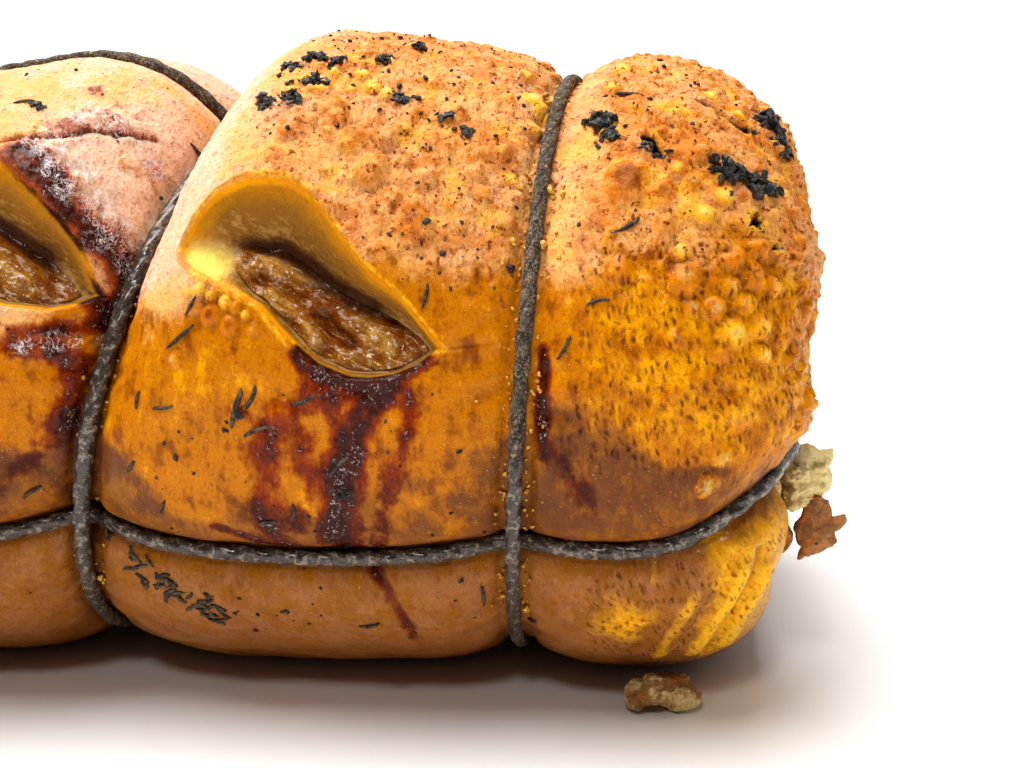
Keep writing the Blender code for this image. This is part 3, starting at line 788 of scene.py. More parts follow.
SLIT_B = Slit(
    left=0.0172,
    right=0.0795,
    rim=Line(
        (
            (0.017, 63), (0.0182, 60.3), (0.02, 58.3), (0.0235, 56.2), (0.031, 54.8), (0.04, 55.2),
            (0.045, 56.8), (0.051, 60), (0.057, 64.3), (0.063, 67.8), (0.07, 71.2), (0.0765, 75.6),
            (0.0798, 78),
        ),
        0.0008,
    ),
    lip=Line(
        (
            (0.017, 63), (0.0182, 65), (0.021, 66.8), (0.026, 68.2), (0.032, 70), (0.039, 72.3),
            (0.044, 75.4), (0.049, 78.2), (0.053, 80.2), (0.06, 82), (0.065, 82.2), (0.07, 81.8),
            (0.075, 80.4), (0.0798, 78),
        ),
        0.0008,
    ),
    wall_over=Line(
        ((0.01, 0.007), (0.019, 0.0075), (0.026, 0.01), (0.035, 0.0115), (0.045, 0.0095),
         (0.055, 0.0072), (0.065, 0.0048), (0.074, 0.0024), (0.085, 0.0024)), 0.002,
    ),
    wall_below=Line(
        ((0.01, 0.006), (0.024, 0.0056), (0.03, 0.0034), (0.035, 0.0014), (0.045, 0.0012),
         (0.07, 0.0012), (0.085, 0.0016)), 0.002,
    ),
    depth_over=Line(
        ((0.01, 0.0056), (0.02, 0.0056), (0.03, 0.0105), (0.07, 0.0095), (0.077, 0.0054),
         (0.085, 0.0054)), 0.001,
    ),
    depth_below=Line(((0.01, 0.0056), (0.026, 0.0056), (0.036, 0.0036), (0.085, 0.0036)), 0.001),
    meat=0.0086,
    web=(0.0222, 66.4, 0.0076, 0.0062),
)
SLIT_A = Slit(
    left=-0.0632,
    right=-0.0042,
    rim=Line(
        (
            (-0.0635, 52), (-0.0618, 49.5), (-0.057, 47), (-0.05, 46), (-0.042, 46.4),
            (-0.029, 50), (-0.0195, 54.4), (-0.0148, 57), (-0.0108, 59.7), (-0.0072, 63.4),
            (-0.004, 68),
        ),
        0.0008,
    ),
    lip=Line(
        (
            (-0.0635, 52), (-0.0618, 55), (-0.055, 59.5), (-0.045, 64), (-0.032, 68.5),
            (-0.021, 71.2), (-0.012, 71.5), (-0.0075, 70.3), (-0.004, 68),
        ),
        0.0008,
    ),
    wall_over=Line(
        ((-0.075, 0.003), (-0.062, 0.003), (-0.05, 0.0085), (-0.035, 0.0095), (-0.02, 0.0075),
         (-0.007, 0.0024), (0.005, 0.0024)), 0.002,
    ),
    wall_below=Line(
        ((-0.075, 0.003), (-0.062, 0.003), (-0.045, 0.003), (-0.03, 0.0014), (0.005, 0.0014)),
        0.002,
    ),
    depth_over=Line(
        ((-0.075, 0.006), (-0.061, 0.006), (-0.052, 0.01), (-0.014, 0.01), (-0.007, 0.006),
         (0.005, 0.006)), 0.001,
    ),
    depth_below=Line(((-0.075, 0.005), (-0.04, 0.0042), (0.005, 0.0036)), 0.001),
    meat=0.0084,
    hood=0.003,
    glow=0.15,
)
SLITS = (SLIT_A, SLIT_B)


# ---- skin map


def streak(s: Array, a: Array, points: Points, half: float) -> Array:
    """A soft line: e to the minus squared distance, in half widths, to a chain of pieces.

    Args:
        s: Stations.
        a: Angles.
        points: Corners of the chain as station in millimetres and angle in degrees.
        half: Half width in metres.
    Returns:
        1 on the line, falling to 0.
    """
    best = np.full(np.shape(s), 1.0)
    reach = np.radians(1.0) * FORM.half_width
    for (s1, a1), (s2, a2) in zip(points, points[1:]):
        ds, da = (s2 - s1) * MM, (a2 - a1) * reach
        px, py = s - s1 * MM, arc(a, a1)
        share = np.clip((px * ds + py * da) / (ds * ds + da * da + 1e-12), 0.0, 1.0)
        best = np.minimum(best, np.hypot(px - share * ds, py - share * da))
    return np.exp(-((best / half) ** 2))


@dataclass(frozen=True)
class SkinMap:
    """Where on the skin each finish lies, and the skin's relief there.

    Blisters are station in millimetres, angle, radius and height in millimetres and tone, from
    -1 for orange to 1 for yellow. Streaks are chains of station in millimetres and angle, each
    with its half width in millimetres and its strength. Char spots and rings are station in
    millimetres, angle and radius in millimetres.
    """

    blisters: tuple[tuple[float, float, float, float, float], ...] = (
        (48, 34, 2.2, 1.2, 1), (52, 37, 2.4, 1.1, 1), (56, 39, 2.2, 1, 1), (41, 34, 1.8, 1, 1),
        (34, 36, 1.8, 1, 1), (33, 39, 2, 1, 0.6), (40, 38, 2.2, 1.1, 1), (47, 38, 2, 1, 0.8),
        (90, 35, 3.6, 1.8, 1), (93, 37, 3, 1.4, 1), (92, 42, 2.4, 1, 0.8), (86, 27, 2.8, 1.4, 0.8),
        (89, 53, 2.2, 0.7, 0.7), (89, 60, 2.4, 0.7, 0.4), (80, 61, 1.8, 0.7, 0.5),
        (86, 49, 1.8, 0.7, 0.5), (67, 35, 2.6, 0.9, -0.7), (60, 31, 2, 0.8, -0.7),
        (65, 43, 2.4, 0.9, -0.8), (58, 53, 4.3, 2.1, -0.55), (60, 48, 2.6, 1.3, -0.4),
        (51, 48, 3.4, 1.1, -0.6), (37, 46, 5, 1.6, -0.7), (44, 42, 3, 1.1, -0.6),
        (47, 44, 2.4, 0.9, -0.7), (71, 54, 3, 1.4, -0.4), (64, 57, 2.4, 0.9, -0.4),
        (84, 56, 2.4, 0.8, -0.7), (70, 61, 4.2, 1.5, -0.6), (75, 42, 2.2, 0.7, -0.8),
        (128, 69, 3.4, 1.9, -0.3), (127, 65.5, 2, 1.4, 1), (115, 68, 3.4, 1.4, -0.5),
        (124, 62, 2.6, 1.2, -0.7), (121, 66, 1.8, 0.9, -1), (137, 66, 2.4, 1.2, -1),
        (142, 64, 2.2, 1.4, -0.8), (146, 64, 1.8, 1.1, -1), (141, 68, 3, 1.2, -0.4),
        (146, 69, 2.4, 1.2, 0.2), (140, 72, 2.4, 1.1, -0.3), (134, 73, 2.4, 1.1, 0),
        (137, 70, 2, 1, 0.3), (130, 73, 2, 0.8, 0.2), (138, 76, 3.4, 1.4, 0.8),
        (144, 75, 3, 1.2, 0.6), (127, 77, 1.9, 1.3, -0.3), (145, 79, 2.4, 1, 0.8),
        (136, 79, 2.2, 0.9, -0.5), (153, 80, 2, 1, 0), (139, 87, 4, 1.3, 0.5),
        (127, 84, 2, 0.6, -0.6), (125, 85, 1.6, 0.5, -0.6), (150, 64, 2.4, 1.3, -0.9),
        (154, 61, 2.6, 1.5, -0.5), (155, 68, 3, 1.6, -0.3), (137, 93, 3, 0.6, 0.55),
        (135, 97, 3.2, 0.6, 0.45), (115, 55, 5.8, 1.9, -1), (123, 57, 3.6, 1, -0.9),
        (135, 57, 2.6, 1.4, 0.9), (131, 60, 2.6, 1.2, 0.9), (145, 58, 1.8, 1, 0.3),
        (133, 35, 2.6, 1.2, 0.9), (139, 38, 2.3, 1.3, 1), (110, 34, 3, 1.1, 0.7),
        (112, 28, 3.4, 1.2, 0.8), (131, 50, 2.2, 0.8, -0.3), (126, 53, 2, 1, 0.6),
        (129, 55, 2, 1, 0.3), (150, 55, 3, 1.3, 0.2), (125, 42, 2, 0.8, 0.7),
        (-9, 44, 2.2, 0.8, 0), (-14, 50, 2.4, 0.6, 0.1), (-6, 78, 3.2, 0.8, 0.2),
        (-50, 84, 4.4, 1.4, -0.4), (-75, 62, 5, 1.7, -0.7), (-66, 40, 3, 1.2, 0.6),
        (-126, 60, 5.4, 1.8, -0.8), (-120, 82, 4, 1.4, 0.4), (-134, 48, 3, 1.3, 0.8),
        (-140, 70, 3.4, 1.4, -0.5), (47, 87, 3.6, 1, 0.5), (21, 79, 2, 0.7, 0),
        (24.6, 69.6, 1.9, 1.1, 0.9), (27.8, 70.6, 1.7, 1, 0.6), (31, 71.4, 1.7, 1, 1),
        (33.7, 72.2, 1.5, 0.9, 0.5), (36.1, 73.2, 1.4, 0.8, 0.8), (24.1, 71.8, 2, 0.9, -0.7),
        (28.1, 73, 2.4, 1.1, -0.8), (21.9, 70, 1.5, 0.8, 0.8), (33, 74.6, 2.2, 0.9, -0.9),
        (38.5, 75.2, 1.6, 0.7, 0.4), (30, 345, 4.4, 1.6, -0.8), (52, 320, 3.4, 1.3, 0.8),
        (70, 300, 4.6, 1.5, -0.7), (-30, 330, 4.2, 1.4, 0.7), (-60, 310, 5, 1.7, -0.8),
        (-120, 320, 4.4, 1.6, 0.8), (125, 330, 4, 1.5, -0.8), (138, 300, 3.6, 1.4, 0.6),
        (110, 300, 3.2, 1.2, 0.5), (20, 290, 3.6, 1, 0.3), (-85, 345, 3.4, 1.2, -0.5),
        (-135, 290, 4, 1.4, -0.5),
    )
    glaze: tuple[Chain, ...] = (
        (((70, 81), (66, 85), (62, 90), (61, 95), (60, 101), (61, 109)), 4.4, 1.15),
        (((66, 83), (58, 85), (52, 85)), 3.4, 0.8),
        (((54, 83), (48, 86), (45, 89), (44, 94), (46, 101), (47, 108)), 4.6, 0.62),
        (((52, 90), (54, 97), (52, 104)), 3.6, 0.52),
        (((72, 83), (74, 87), (72, 94), (70, 101), (68, 108)), 2.8, 0.55),
        (((34, 104), (44, 108), (56, 110), (66, 110)), 1.6, 0.85),
        (((38, 86), (42, 88), (46, 88)), 1.6, 0.6),
        (((66, 113), (70, 116), (73, 121), (75, 130)), 1.6, 0.7),
        (((-26, 48.2), (-22, 50.4), (-18, 53), (-13.7, 55.8), (-10, 58), (-6.5, 60), (-3.4, 62),
           (-1, 66), (-2, 72)), 4, 1.2),
        (((-31.5, 47.2), (-26.5, 45), (-21.6, 43.7), (-18, 40.5), (-13.6, 39.5), (-8.1, 36.3)),
         0.8, 0.9),
        (((-23, 31), (-18.6, 32), (-14, 34)), 3, 0.36),
        (((49, 78.6), (52, 80.2), (56, 81.6), (60, 82.3), (65, 82.5), (71, 81.6), (76, 79.9)),
         2.3, 1.1),
        (((-23, 42), (-17, 36), (-10, 37), (-5, 42)), 3.4, 0.34),
        (((-20, 58), (-12, 63), (-6, 68), (-2, 72), (-8, 74), (-17, 75)), 2.6, 1),
        (((-17, 76), (-10, 77), (-5, 79), (-4, 86), (-7, 92)), 3.6, 0.72),
        (((-9, 94), (-16, 98), (-24, 100)), 3.2, 0.5),
        (((6, 62), (2, 70), (-1, 78), (-1, 90)), 2.6, 0.62),
        (((100.6, 78), (101, 82), (101, 87), (102, 93)), 1.5, 1.1),
        (((103, 91), (108, 96), (112, 100)), 3, 0.42), (((-45, 72), (-47, 84), (-46, 96)), 4, 0.8),
        (((-60, 58), (-66, 66), (-64, 78)), 3, 0.55),
        (((-112, 60), (-113, 76), (-109, 90)), 4, 0.8),
        (((-140, 56), (-136, 66), (-138, 80)), 3.4, 0.6),
        (((33, 292), (36, 280), (31, 258)), 6.5, 0.4), (((56, 290), (62, 272)), 5, 0.28),
        (((-50, 304), (-58, 290), (-50, 262)), 7, 0.42), (((-30, 288), (-34, 270)), 5, 0.3),
        (((121, 296), (125, 284), (119, 262)), 5, 0.3),
    )
    char: tuple[Triple, ...] = (
        (108, 43, 3.6), (111, 47, 3), (136.5, 52.5, 4.2), (143, 53.5, 4.2), (29, 32, 2.8),
        (34, 30, 3), (40, 31, 2.6), (37, 37, 3), (34, 41, 2.8), (27, 41, 2.6), (51, 29, 2.6),
        (57, 23, 2.4), (61, 40, 2.6), (72, 43, 2), (78, 46, 2), (120, 49, 2.4), (122, 51, 2),
        (148, 33, 4.5), (152, 40, 4), (-30, 38, 2), (-110, 35, 3.4), (-130, 42, 3.4),
        (0, 334, 3.4), (75, 322, 4), (-70, 335, 3.4), (135, 335, 4.2), (40, 340, 3), (61, 98, 1.8),
        (38, 87, 1.6),
    )
    tears: tuple[Chain, ...] = (
        (((131, 38), (134.5, 39.5), (138, 40.6), (141, 41)), 1.1, 2.6),
        (((119, 47.5), (122, 50.5)), 1.2, 1.8),
    )
    rings: tuple[Triple, ...] = ((141, 60.0, 1.9), (145.5, 63.5, 1.5))
    fat: tuple[Chain, ...] = (
        (((-24, 45), (-17.5, 49), (-12.6, 52.5), (-6.6, 56.5), (-3, 61)), 5.8, 1),
        (((-20, 38), (-12, 38), (-6, 42)), 4.6, 0.85), (((-14, 76), (-6, 76)), 4, 0.8),
    )
    amber_from: Line = Line(
        ((-0.16, 62), (-0.1, 68), (-0.05, 74), (-0.02, 76), (0, 76), (0.012, 77),
         (0.03, 74), (0.05, 80), (0.066, 73), (0.09, 71), (0.102, 75), (0.112, 68),
         (0.13, 66), (0.17, 72)), 0.006,
    )
    amber_to: Line = Line(
        ((-0.16, 99), (-0.05, 100), (-0.01, 95), (0.012, 92), (0.03, 101),
         (0.07, 109), (0.088, 104), (0.096, 98), (0.106, 91), (0.116, 94),
         (0.128, 101), (0.17, 100)), 0.005,
    )

    def near_tie(self, s: Array) -> Array:
        """Distance to the nearest tie, in metres."""
        return np.min([np.abs(s - t.station) for t in TIES.values()], axis=0)

    def drawn(self, s: Array, a: Array, chains: Sequence[Chain]) -> Array:
        """The strongest of several streaks at each place."""
        most = np.zeros(np.shape(s))
        for points, half, strength in chains:
            most = np.maximum(most, strength * streak(s, a, points, half * MM))
        return most

    def finishes(self, s: Array, a: Array, at: Array) -> dict[str, Array]:
        """Strength of each finish, from 0 to 1.

        Args:
            s: Stations in metres.
            a: Angles in degrees.
            at: The points themselves, for the random fields.
        Returns:
            Arrays by name.
        """
        wide, mid = GRAIN.smooth(at, 0.022), GRAIN.smooth(at + 0.5, 0.009)
        signed = turn_gap(a, 0.0)
        side = np.abs(signed)
        shift = np.where(signed > 0, 0.0, 3.0) + 9.0 * wide + 4.0 * mid
        reach = np.where(signed > 0, 1.0, 2.4)
        glaze = self.drawn(s, a, self.glaze)
        glaze = np.clip(glaze * (1.0 + 0.35 * mid) + 0.1 * mid * (glaze > 0.05), 0.0, 1.0)
        char = np.zeros_like(s)
        for s0, a0, size in self.char:
            char = np.maximum(char, spot(s, a, s0 * MM, a0, size * MM, 0.8 * size * MM, 2.0))
        return {
            "amber": ease(-18.0, 12.0, (side + shift - self.amber_from(s)) / reach),
            "dull": ease(-10.0, 6.0, side + shift - self.amber_to(s)),
            "crackle": self.crackle(s, side, wide), "bulge": self.drawn(s, a, self.fat),
            "pink": self.pink(s, a, at, side), "glaze": glaze, "char": char,
            "pore": self.pore(s, side), "gold": self.gold(s, a, signed, wide, mid),
            "twine_seep_shade": self.twine_seep_shade(s, a), "rim": self.rim(s, a), "under": ease(103.0, 111.0, side),
        }

    @staticmethod
    def crackle(s: Array, side: Array, wide: Array) -> Array:
        """Crackling on the top, as strong as each bulge has it, and down the right end.

        Args:
            s: Stations in metres.
            side: Angles away from the top, to either side.
            wide: A broad random field.
        Returns:
            Strength of the finish.
        """
        crackle = ease(84.0, 56.0, side + 6.0 * wide) * np.interp(
            s, (-0.16, -0.12, -0.09, -0.03, 0.02, 0.042, 0.088, 0.102, 0.114, 0.17),
            (0.9, 0.9, 0.4, 0.15, 0.12, 1.0, 1.0, 0.45, 1.25, 1.25),
        )
        return strongest(
            crackle, 0.34 * ease(0.104, 0.118, s) * ease(100.0, 84.0, side),
            ease(0.142, 0.156, np.abs(s)) * ease(102.0, 90.0, side),
        )

    @staticmethod
    def pink(s: Array, a: Array, at: Array, side: Array) -> Array:
        """Rosy skin beside the middle tie, on the top and round the right end.

        Args:
            s: Stations in metres.
            a: Angles in degrees.
            at: The points themselves.
            side: Angles away from the top, to either side.
        Returns:
            Strength of the finish.
        """
        return strongest(
            1.1 * spot(s, a, -0.004, 42.0, 0.024, 0.032), 0.8 * ease(36.0, 10.0, side),
            0.9 * spot(s, a, 0.012, 46.0, 0.015, 0.034),
            0.45 + 0.5 * GRAIN.smooth(at + 0.35, 0.012),
            0.9 * ease(0.104, 0.114, s) * ease(52.0, 34.0, side),
            0.8 * ease(0.14, 0.156, s) * ease(96.0, 80.0, side),
        )

    @staticmethod
    def gold(s: Array, a: Array, signed: Array, wide: Array, mid: Array) -> Array:
        """Yellow skin: on the right bulge's side, on the low flap and below the right slit.

        Args:
            s: Stations in metres.
            a: Angles in degrees.
            signed: Angles away from the top, from -180 to 180.
            wide: A broad random field.
            mid: A finer random field.
        Returns:
            Strength of the finish.
        """
        side = np.abs(signed)
        loose = side + 9.0 * wide + 4.0 * mid
        flap = ease(0.131, 0.139, s + 0.004 * wide)
        flap = np.maximum(flap, spot(s, a, 0.1195, 121.5, 0.008, 0.008))
        flap = flap * ease(164.0, 138.0, np.where(signed > 0.0, side + 6.0 * wide, 180.0))
        return strongest(
            ease(0.1, 0.118, s) * ease(56.0, 76.0, loose) * ease(100.0, 82.0, loose),
            1.2 * flap * ease(104.0, 112.0, side), 0.7 * spot(s, a, 0.024, 82.0, 0.012, 0.008),
        )

    @staticmethod
    def pore(s: Array, side: Array) -> Array:
        """Where bristle follicles show: on the right end's side and on its flap."""
        pore = ease(0.102, 0.11, s) * (1.0 - ease(0.152, 0.16, s))
        pore = pore * ease(58.0, 68.0, side) * (1.0 - ease(92.0, 98.0, side))
        return np.maximum(pore, 0.8 * ease(108.0, 114.0, side) * ease(0.108, 0.114, s))

    def twine_seep_shade(self, s: Array, a: Array) -> Array:
        """Darkening beside the twine, partly grease seeping from it and partly painted shade in the
        grooves and creases it presses in: e to the minus distance, by the strength of each tie.

        Args:
            s: Stations in metres.
            a: Angles in degrees.
        Returns:
            Strength from 0 to 1.
        """
        side = np.abs(turn_gap(a, 0.0))
        twine_seep_shade = np.zeros_like(s)
        for name, tie in TIES.items():
            power = 0.35 if name == "tie_c" else 1.0
            away = s - tie.station
            width = np.where(away < 0.0, 0.0038, 0.0032) * (0.5 + 0.5 * power)
            twine_seep_shade = np.maximum(twine_seep_shade, power * np.exp(-np.abs(away) / width) * 1.3)
        for line, power in ((FRONT_CREASE, 1.0), (BACK_CREASE, 1.0), (TOP_CREASE, 0.5)):
            away = arc(a, line(s))
            width = np.where(away < 0.0, 0.005, 0.0018)
            twine_seep_shade = np.maximum(twine_seep_shade, power * 1.2 * np.exp(-np.abs(away) / width))
        return np.clip(twine_seep_shade, 0.0, 1.0) * (0.35 + 0.65 * ease(45.0, 80.0, side))

    def rim(self, s: Array, a: Array) -> Array:
        """Glow of the skin right beside a slit, from the distance to its outline."""
        glow = np.zeros_like(s)
        for slit in SLITS:
            for line, half in ((slit.rim, 0.8), (slit.lip, 1.0)):
                chain = tuple((x / MM, y) for x, y in line.points)
                glow = np.maximum(glow, slit.glow * streak(s, a, chain, half * MM))
        return glow

    def relief(self, s: Array, a: Array, at: Array, marks: dict[str, Array]) -> dict[str, Array]:
        """Height of the skin over the roll's form.

        Broad swells, bubbles of three sizes on scattered cells, domes at the listed blisters,
        torn blisters with a raised edge, wrinkles across each tie and folds in the low flap are
        added together.

        Args:
            s: Stations in metres.
            a: Angles in degrees.
            at: The points themselves.
            marks: The finishes there.
        Returns:
            The height in metres, the share up a bubble, the tone of a blister and the open pits.
        """
        crackle, bulge, rim = marks["crackle"], marks["bulge"], marks["rim"]
        bent = at + 0.0009 * columns(*(GRAIN.smooth(at + k, 0.0035) for k in (0.1, 0.3, 0.7)))
        patchy = 0.55 + 0.45 * ease(-0.35, 0.35, GRAIN.smooth(at + 0.8, 0.013))
        lift = 0.6 * MM * GRAIN.smooth(at, 0.024) + 0.3 * MM * GRAIN.smooth(at + 0.3, 0.009)
        near, _, drawn = GRAIN.cells(bent, 0.0058)
        big = np.clip(1.0 - (near / 0.5) ** 2, 0.0, 1.0) ** 0.62 * (drawn > 0.62) * patchy
        near, second, drawn = GRAIN.cells(bent + 0.9, 0.0032)
        small = np.clip(1.0 - (near / 0.58) ** 2, 0.0, 1.0) ** 0.7 * (drawn > 0.3) * patchy
        crack = 1.0 - ease(0.02, 0.18, second - near)
        near, _, drawn = GRAIN.cells(bent + 0.4, 0.0019)
        bead = np.clip(1.0 - (near / 0.55) ** 2, 0.0, 1.0) ** 0.7 * (drawn > 0.45)
        tiny = GRAIN.smooth(at + 0.7, 0.0015)
        lift = lift + crackle * MM * (
            1.05 * big + 0.66 * small + 0.36 * bead - 0.28 * crack + 0.22 * tiny
        )
        rise = crackle * (0.8 * big + 0.5 * small + 0.3 * bead - 0.55 * crack - 0.1)
        lift = lift + np.clip(rim - 0.15, 0.0, 1.0) * MM * (0.55 * small + 0.25 * bead + 0.15)
        curl, curl2, _ = GRAIN.cells(bent + 0.2, 0.0024)
        ridge = (1.0 - ease(0.0, 0.26, curl2 - curl)) ** 1.5
        lift = lift + bulge * MM * (1.0 * ridge + 0.45 * tiny)
        lift = lift + (1.0 - np.maximum(crackle, bulge)) * MM * (0.05 * tiny + 0.07 * small)
        uneven = 1.0 + 0.13 * GRAIN.smooth(at + 0.15, 0.0044) + 0.08 * tiny
        lift, rise, tone = self.domes(s, a, uneven, lift, rise)
        lift, tone, pit = self.holes(s, a, lift, tone)
        burnt = np.clip(marks["char"] * 1.5, 0.0, 1.0)
        lift = lift + burnt * MM * (0.2 + 0.6 * bead + 0.4 * tiny)
        folds = self.folds(s, a)
        fold = np.clip(folds / MM / 1.2, -1.0, 1.0) * ease(0.116, 0.126, s) * marks["under"]
        return {
            "lift": lift + folds, "rise": np.clip(rise, -1.0, 1.0), "tone": tone, "pit": pit,
            "fold": fold,
        }

    def domes(
        self, s: Array, a: Array, uneven: Array, lift: Array, rise: Array
    ) -> tuple[Array, Array, Array]:
        """Add a dome with a moat round it at each listed blister.

        Args:
            s: Stations.
            a: Angles.
            uneven: Factor on the distance, which makes the outlines uneven.
            lift: The height so far.
            rise: The share up a bubble so far.
        Returns:
            The height, the share up a bubble and the blisters' tone.
        """
        tone = np.zeros_like(s)
        for s0, a0, size, height, hue in self.blisters:
            v = np.hypot(s - s0 * MM, arc(a, a0)) / (size * MM) * uneven
            dome = np.clip(1.0 - v**2, 0.0, 1.0) ** 0.75
            moat = np.exp(-(((v - 1.14) / 0.15) ** 2))
            lift = lift + MM * (1.12 * height * dome - 0.26 * moat)
            rise = np.maximum(rise, 0.9 * dome**1.4) - 0.55 * moat
            tone = np.where(v < 1.5, tone * (1.0 - dome) + hue * dome**0.7, tone)
        return lift, rise, tone

    def holes(self, s: Array, a: Array, lift: Array, tone: Array) -> tuple[Array, Array, Array]:
        """Add torn blisters, long or round, with raised edges.

        Args:
            s: Stations in metres.
            a: Angles in degrees.
            lift: The height so far.
            tone: The blisters' tone so far.
        Returns:
            The height, the tone and the open pits.
        """
        pit = np.zeros_like(s)
        for points, half, depth in self.tears:
            bottom = streak(s, a, points, half * MM)
            edge = streak(s, a, points, 2.5 * half * MM) - bottom
            lift = lift - MM * depth * bottom + MM * 1.5 * np.clip(edge, 0.0, 1.0)
            pit = np.maximum(pit, bottom)
        for s0, a0, size in self.rings:
            v = np.hypot(s - s0 * MM, arc(a, a0)) / (size * MM)
            hole = 1.0 - ease(0.65, 0.85, v)
            lift = lift + MM * (1.3 * np.exp(-(((v - 1.0) / 0.2) ** 2)) - 1.0 * hole)
            pit = np.maximum(pit, 0.6 * hole)
            edge = np.exp(-(((v - 1.0) / 0.25) ** 2))
            tone = np.where(edge > 0.1, np.maximum(tone, edge), tone)
        return lift, tone, pit

    def folds(self, s: Array, a: Array) -> Array:
        """Wrinkles that the ties and the long twine press into the skin, and the folds.

        Args:
            s: Stations in metres.
            a: Angles in degrees.
        Returns:
            The height in metres.
        """
        gap = self.near_tie(s)
        turn = np.radians(a)
        wave = np.sin(turn * 46.0 + 3.0 * np.sin(turn * 9.0) + s * 260.0)
        lift = 0.22 * MM * wave * np.exp(-(((gap - 0.006) / 0.005) ** 2))
        along = arc(a, FRONT_CREASE(s))
        pucker = np.sin(s * 900.0 + 2.0 * np.sin(s * 210.0))
        lift = lift + 0.18 * MM * pucker * np.exp(-(((along - 0.006) / 0.005) ** 2))
        for points, half, depth in (
            (((130, 136), (132, 129), (138, 119), (143, 111)), 1.8, -0.6),
            (((138, 137), (141, 129), (145, 121), (151, 112)), 1.5, -1.2),
            (((122, 133), (126, 122), (130, 112)), 1.6, -0.8),
            (((147, 130), (152, 126)), 1.3, -1.6),
            (((135, 134), (138, 126), (144, 114)), 3.2, 1.3),
            (((144, 136), (147, 128), (152, 118)), 3.8, 1.7),
            (((127, 134), (129, 126), (133, 116)), 2.8, 0.8),
            (((118, 132), (121, 120), (125, 110)), 2.6, 0.5),
            (((66, 113), (70, 116), (73, 121), (75, 130)), 1.2, -0.8),
            (((80, 78), (85, 77.6), (89, 77.2)), 0.6, -0.8),
            (((-36, 49), (-31.5, 47.2), (-26.5, 45), (-21.6, 43.7), (-18, 40.5), (-13.6, 39.5),
              (-8.1, 36.3)), 0.6, -1.2),
            (((-36, 44), (-24, 40), (-8, 34.5)), 1.8, 0.6),
            (((-134, 60), (-128, 66), (-118, 68)), 0.8, -0.9),
            (((-60, 300), (-48, 306), (-36, 304)), 0.8, -0.9),
            (((44, 306), (58, 300), (72, 304)), 0.8, -0.9),
            (((-20, 112), (-26, 118), (-30, 126)), 1.4, -0.7),
            (((34, 112), (38, 118), (46, 124)), 1.6, -0.5),
        ):
            lift = lift + depth * MM * streak(s, a, points, half * MM)
        return lift


SKIN_MAP = SkinMap()


@dataclass(frozen=True)
class CutFace:
    """Relief inside the slits and on the end faces: ragged fat and stringy meat."""

    fibre: float = 0.0026
    heaps: tuple[Chain, ...] = (
        (((36, 65.7), (45, 66), (53, 69)), 3, 1), (((40, 70), (47, 73.4), (52, 77)), 1.4, 0.9),
        (((60, 73), (65.6, 75.6), (68, 78)), 2.4, 0.9),
        (((36, 68), (42, 69), (49, 71.5), (54, 75), (57.5, 77)), 1.2, -0.9),
        (((51.5, 73), (55, 76), (59, 77.5)), 1.6, -0.6),
        (((66.7, 73.2), (71, 74.3), (75, 75.6)), 2.2, -1.7),
        (((-17, 60.5), (-12, 63), (-8, 65.5)), 1.5, -2.2),
        (((-40, 60), (-28, 63), (-18, 66.5)), 1.6, 0.9),
        (((-44, 57), (-30, 59), (-20, 62)), 1.3, -0.8),
    )

    def slit(self, s: Array, a: Array, at: Array, cut: Array) -> tuple[Array, Array]:
        """Fine lumps on the fat; on the meat fibres, knobs and the listed heaps and hollows.

        Args:
            s: Stations.
            a: Angles.
            at: The points themselves.
            cut: 1 rind, 2 fat, 3 meat.
        Returns:
            Height in metres, and how high the meat stands from -1 to 1.
        """
        fat = ease(0.3, 1.0, cut) * ease(2.6, 2.0, cut)
        meat = ease(2.2, 3.0, cut)
        turned = at @ np.array([[0.86, 0.1, 0.5], [0.0, 1.0, 0.0], [-0.5, 0.0, 0.86]])
        strand = GRAIN.smooth(turned, (0.016, self.fibre, self.fibre))
        knobs = GRAIN.smooth(at + 0.4, 0.004)
        fine = GRAIN.smooth(turned + 0.2, (0.005, 0.0012, 0.0012))
        heap = 0.55 * strand + 0.75 * knobs
        for points, half, height in self.heaps:
            heap = heap + height * streak(s, a, points, half * MM)
        lift = meat * MM * (1.25 * heap + 0.5 * fine)
        lift = lift + fat * MM * (0.22 * GRAIN.smooth(at, 0.004) + 0.1 * GRAIN.smooth(at, 0.0013))
        return lift, meat * np.clip(heap, -1.0, 1.0)

    def end(self, at: Array, cut: Array) -> Array:
        """Short torn fibres over soft swells on the meat of an end face."""
        meat = ease(1.6, 2.6, cut)
        coarse = GRAIN.smooth(at, (0.004, 0.0065, 0.0065))
        fine = GRAIN.smooth(at + 0.6, 0.002)
        return MM * (meat * (0.75 * coarse + 0.35 * fine) + 0.12 * ease(0.2, 1.0, cut) * fine)


CUT_FACE = CutFace()


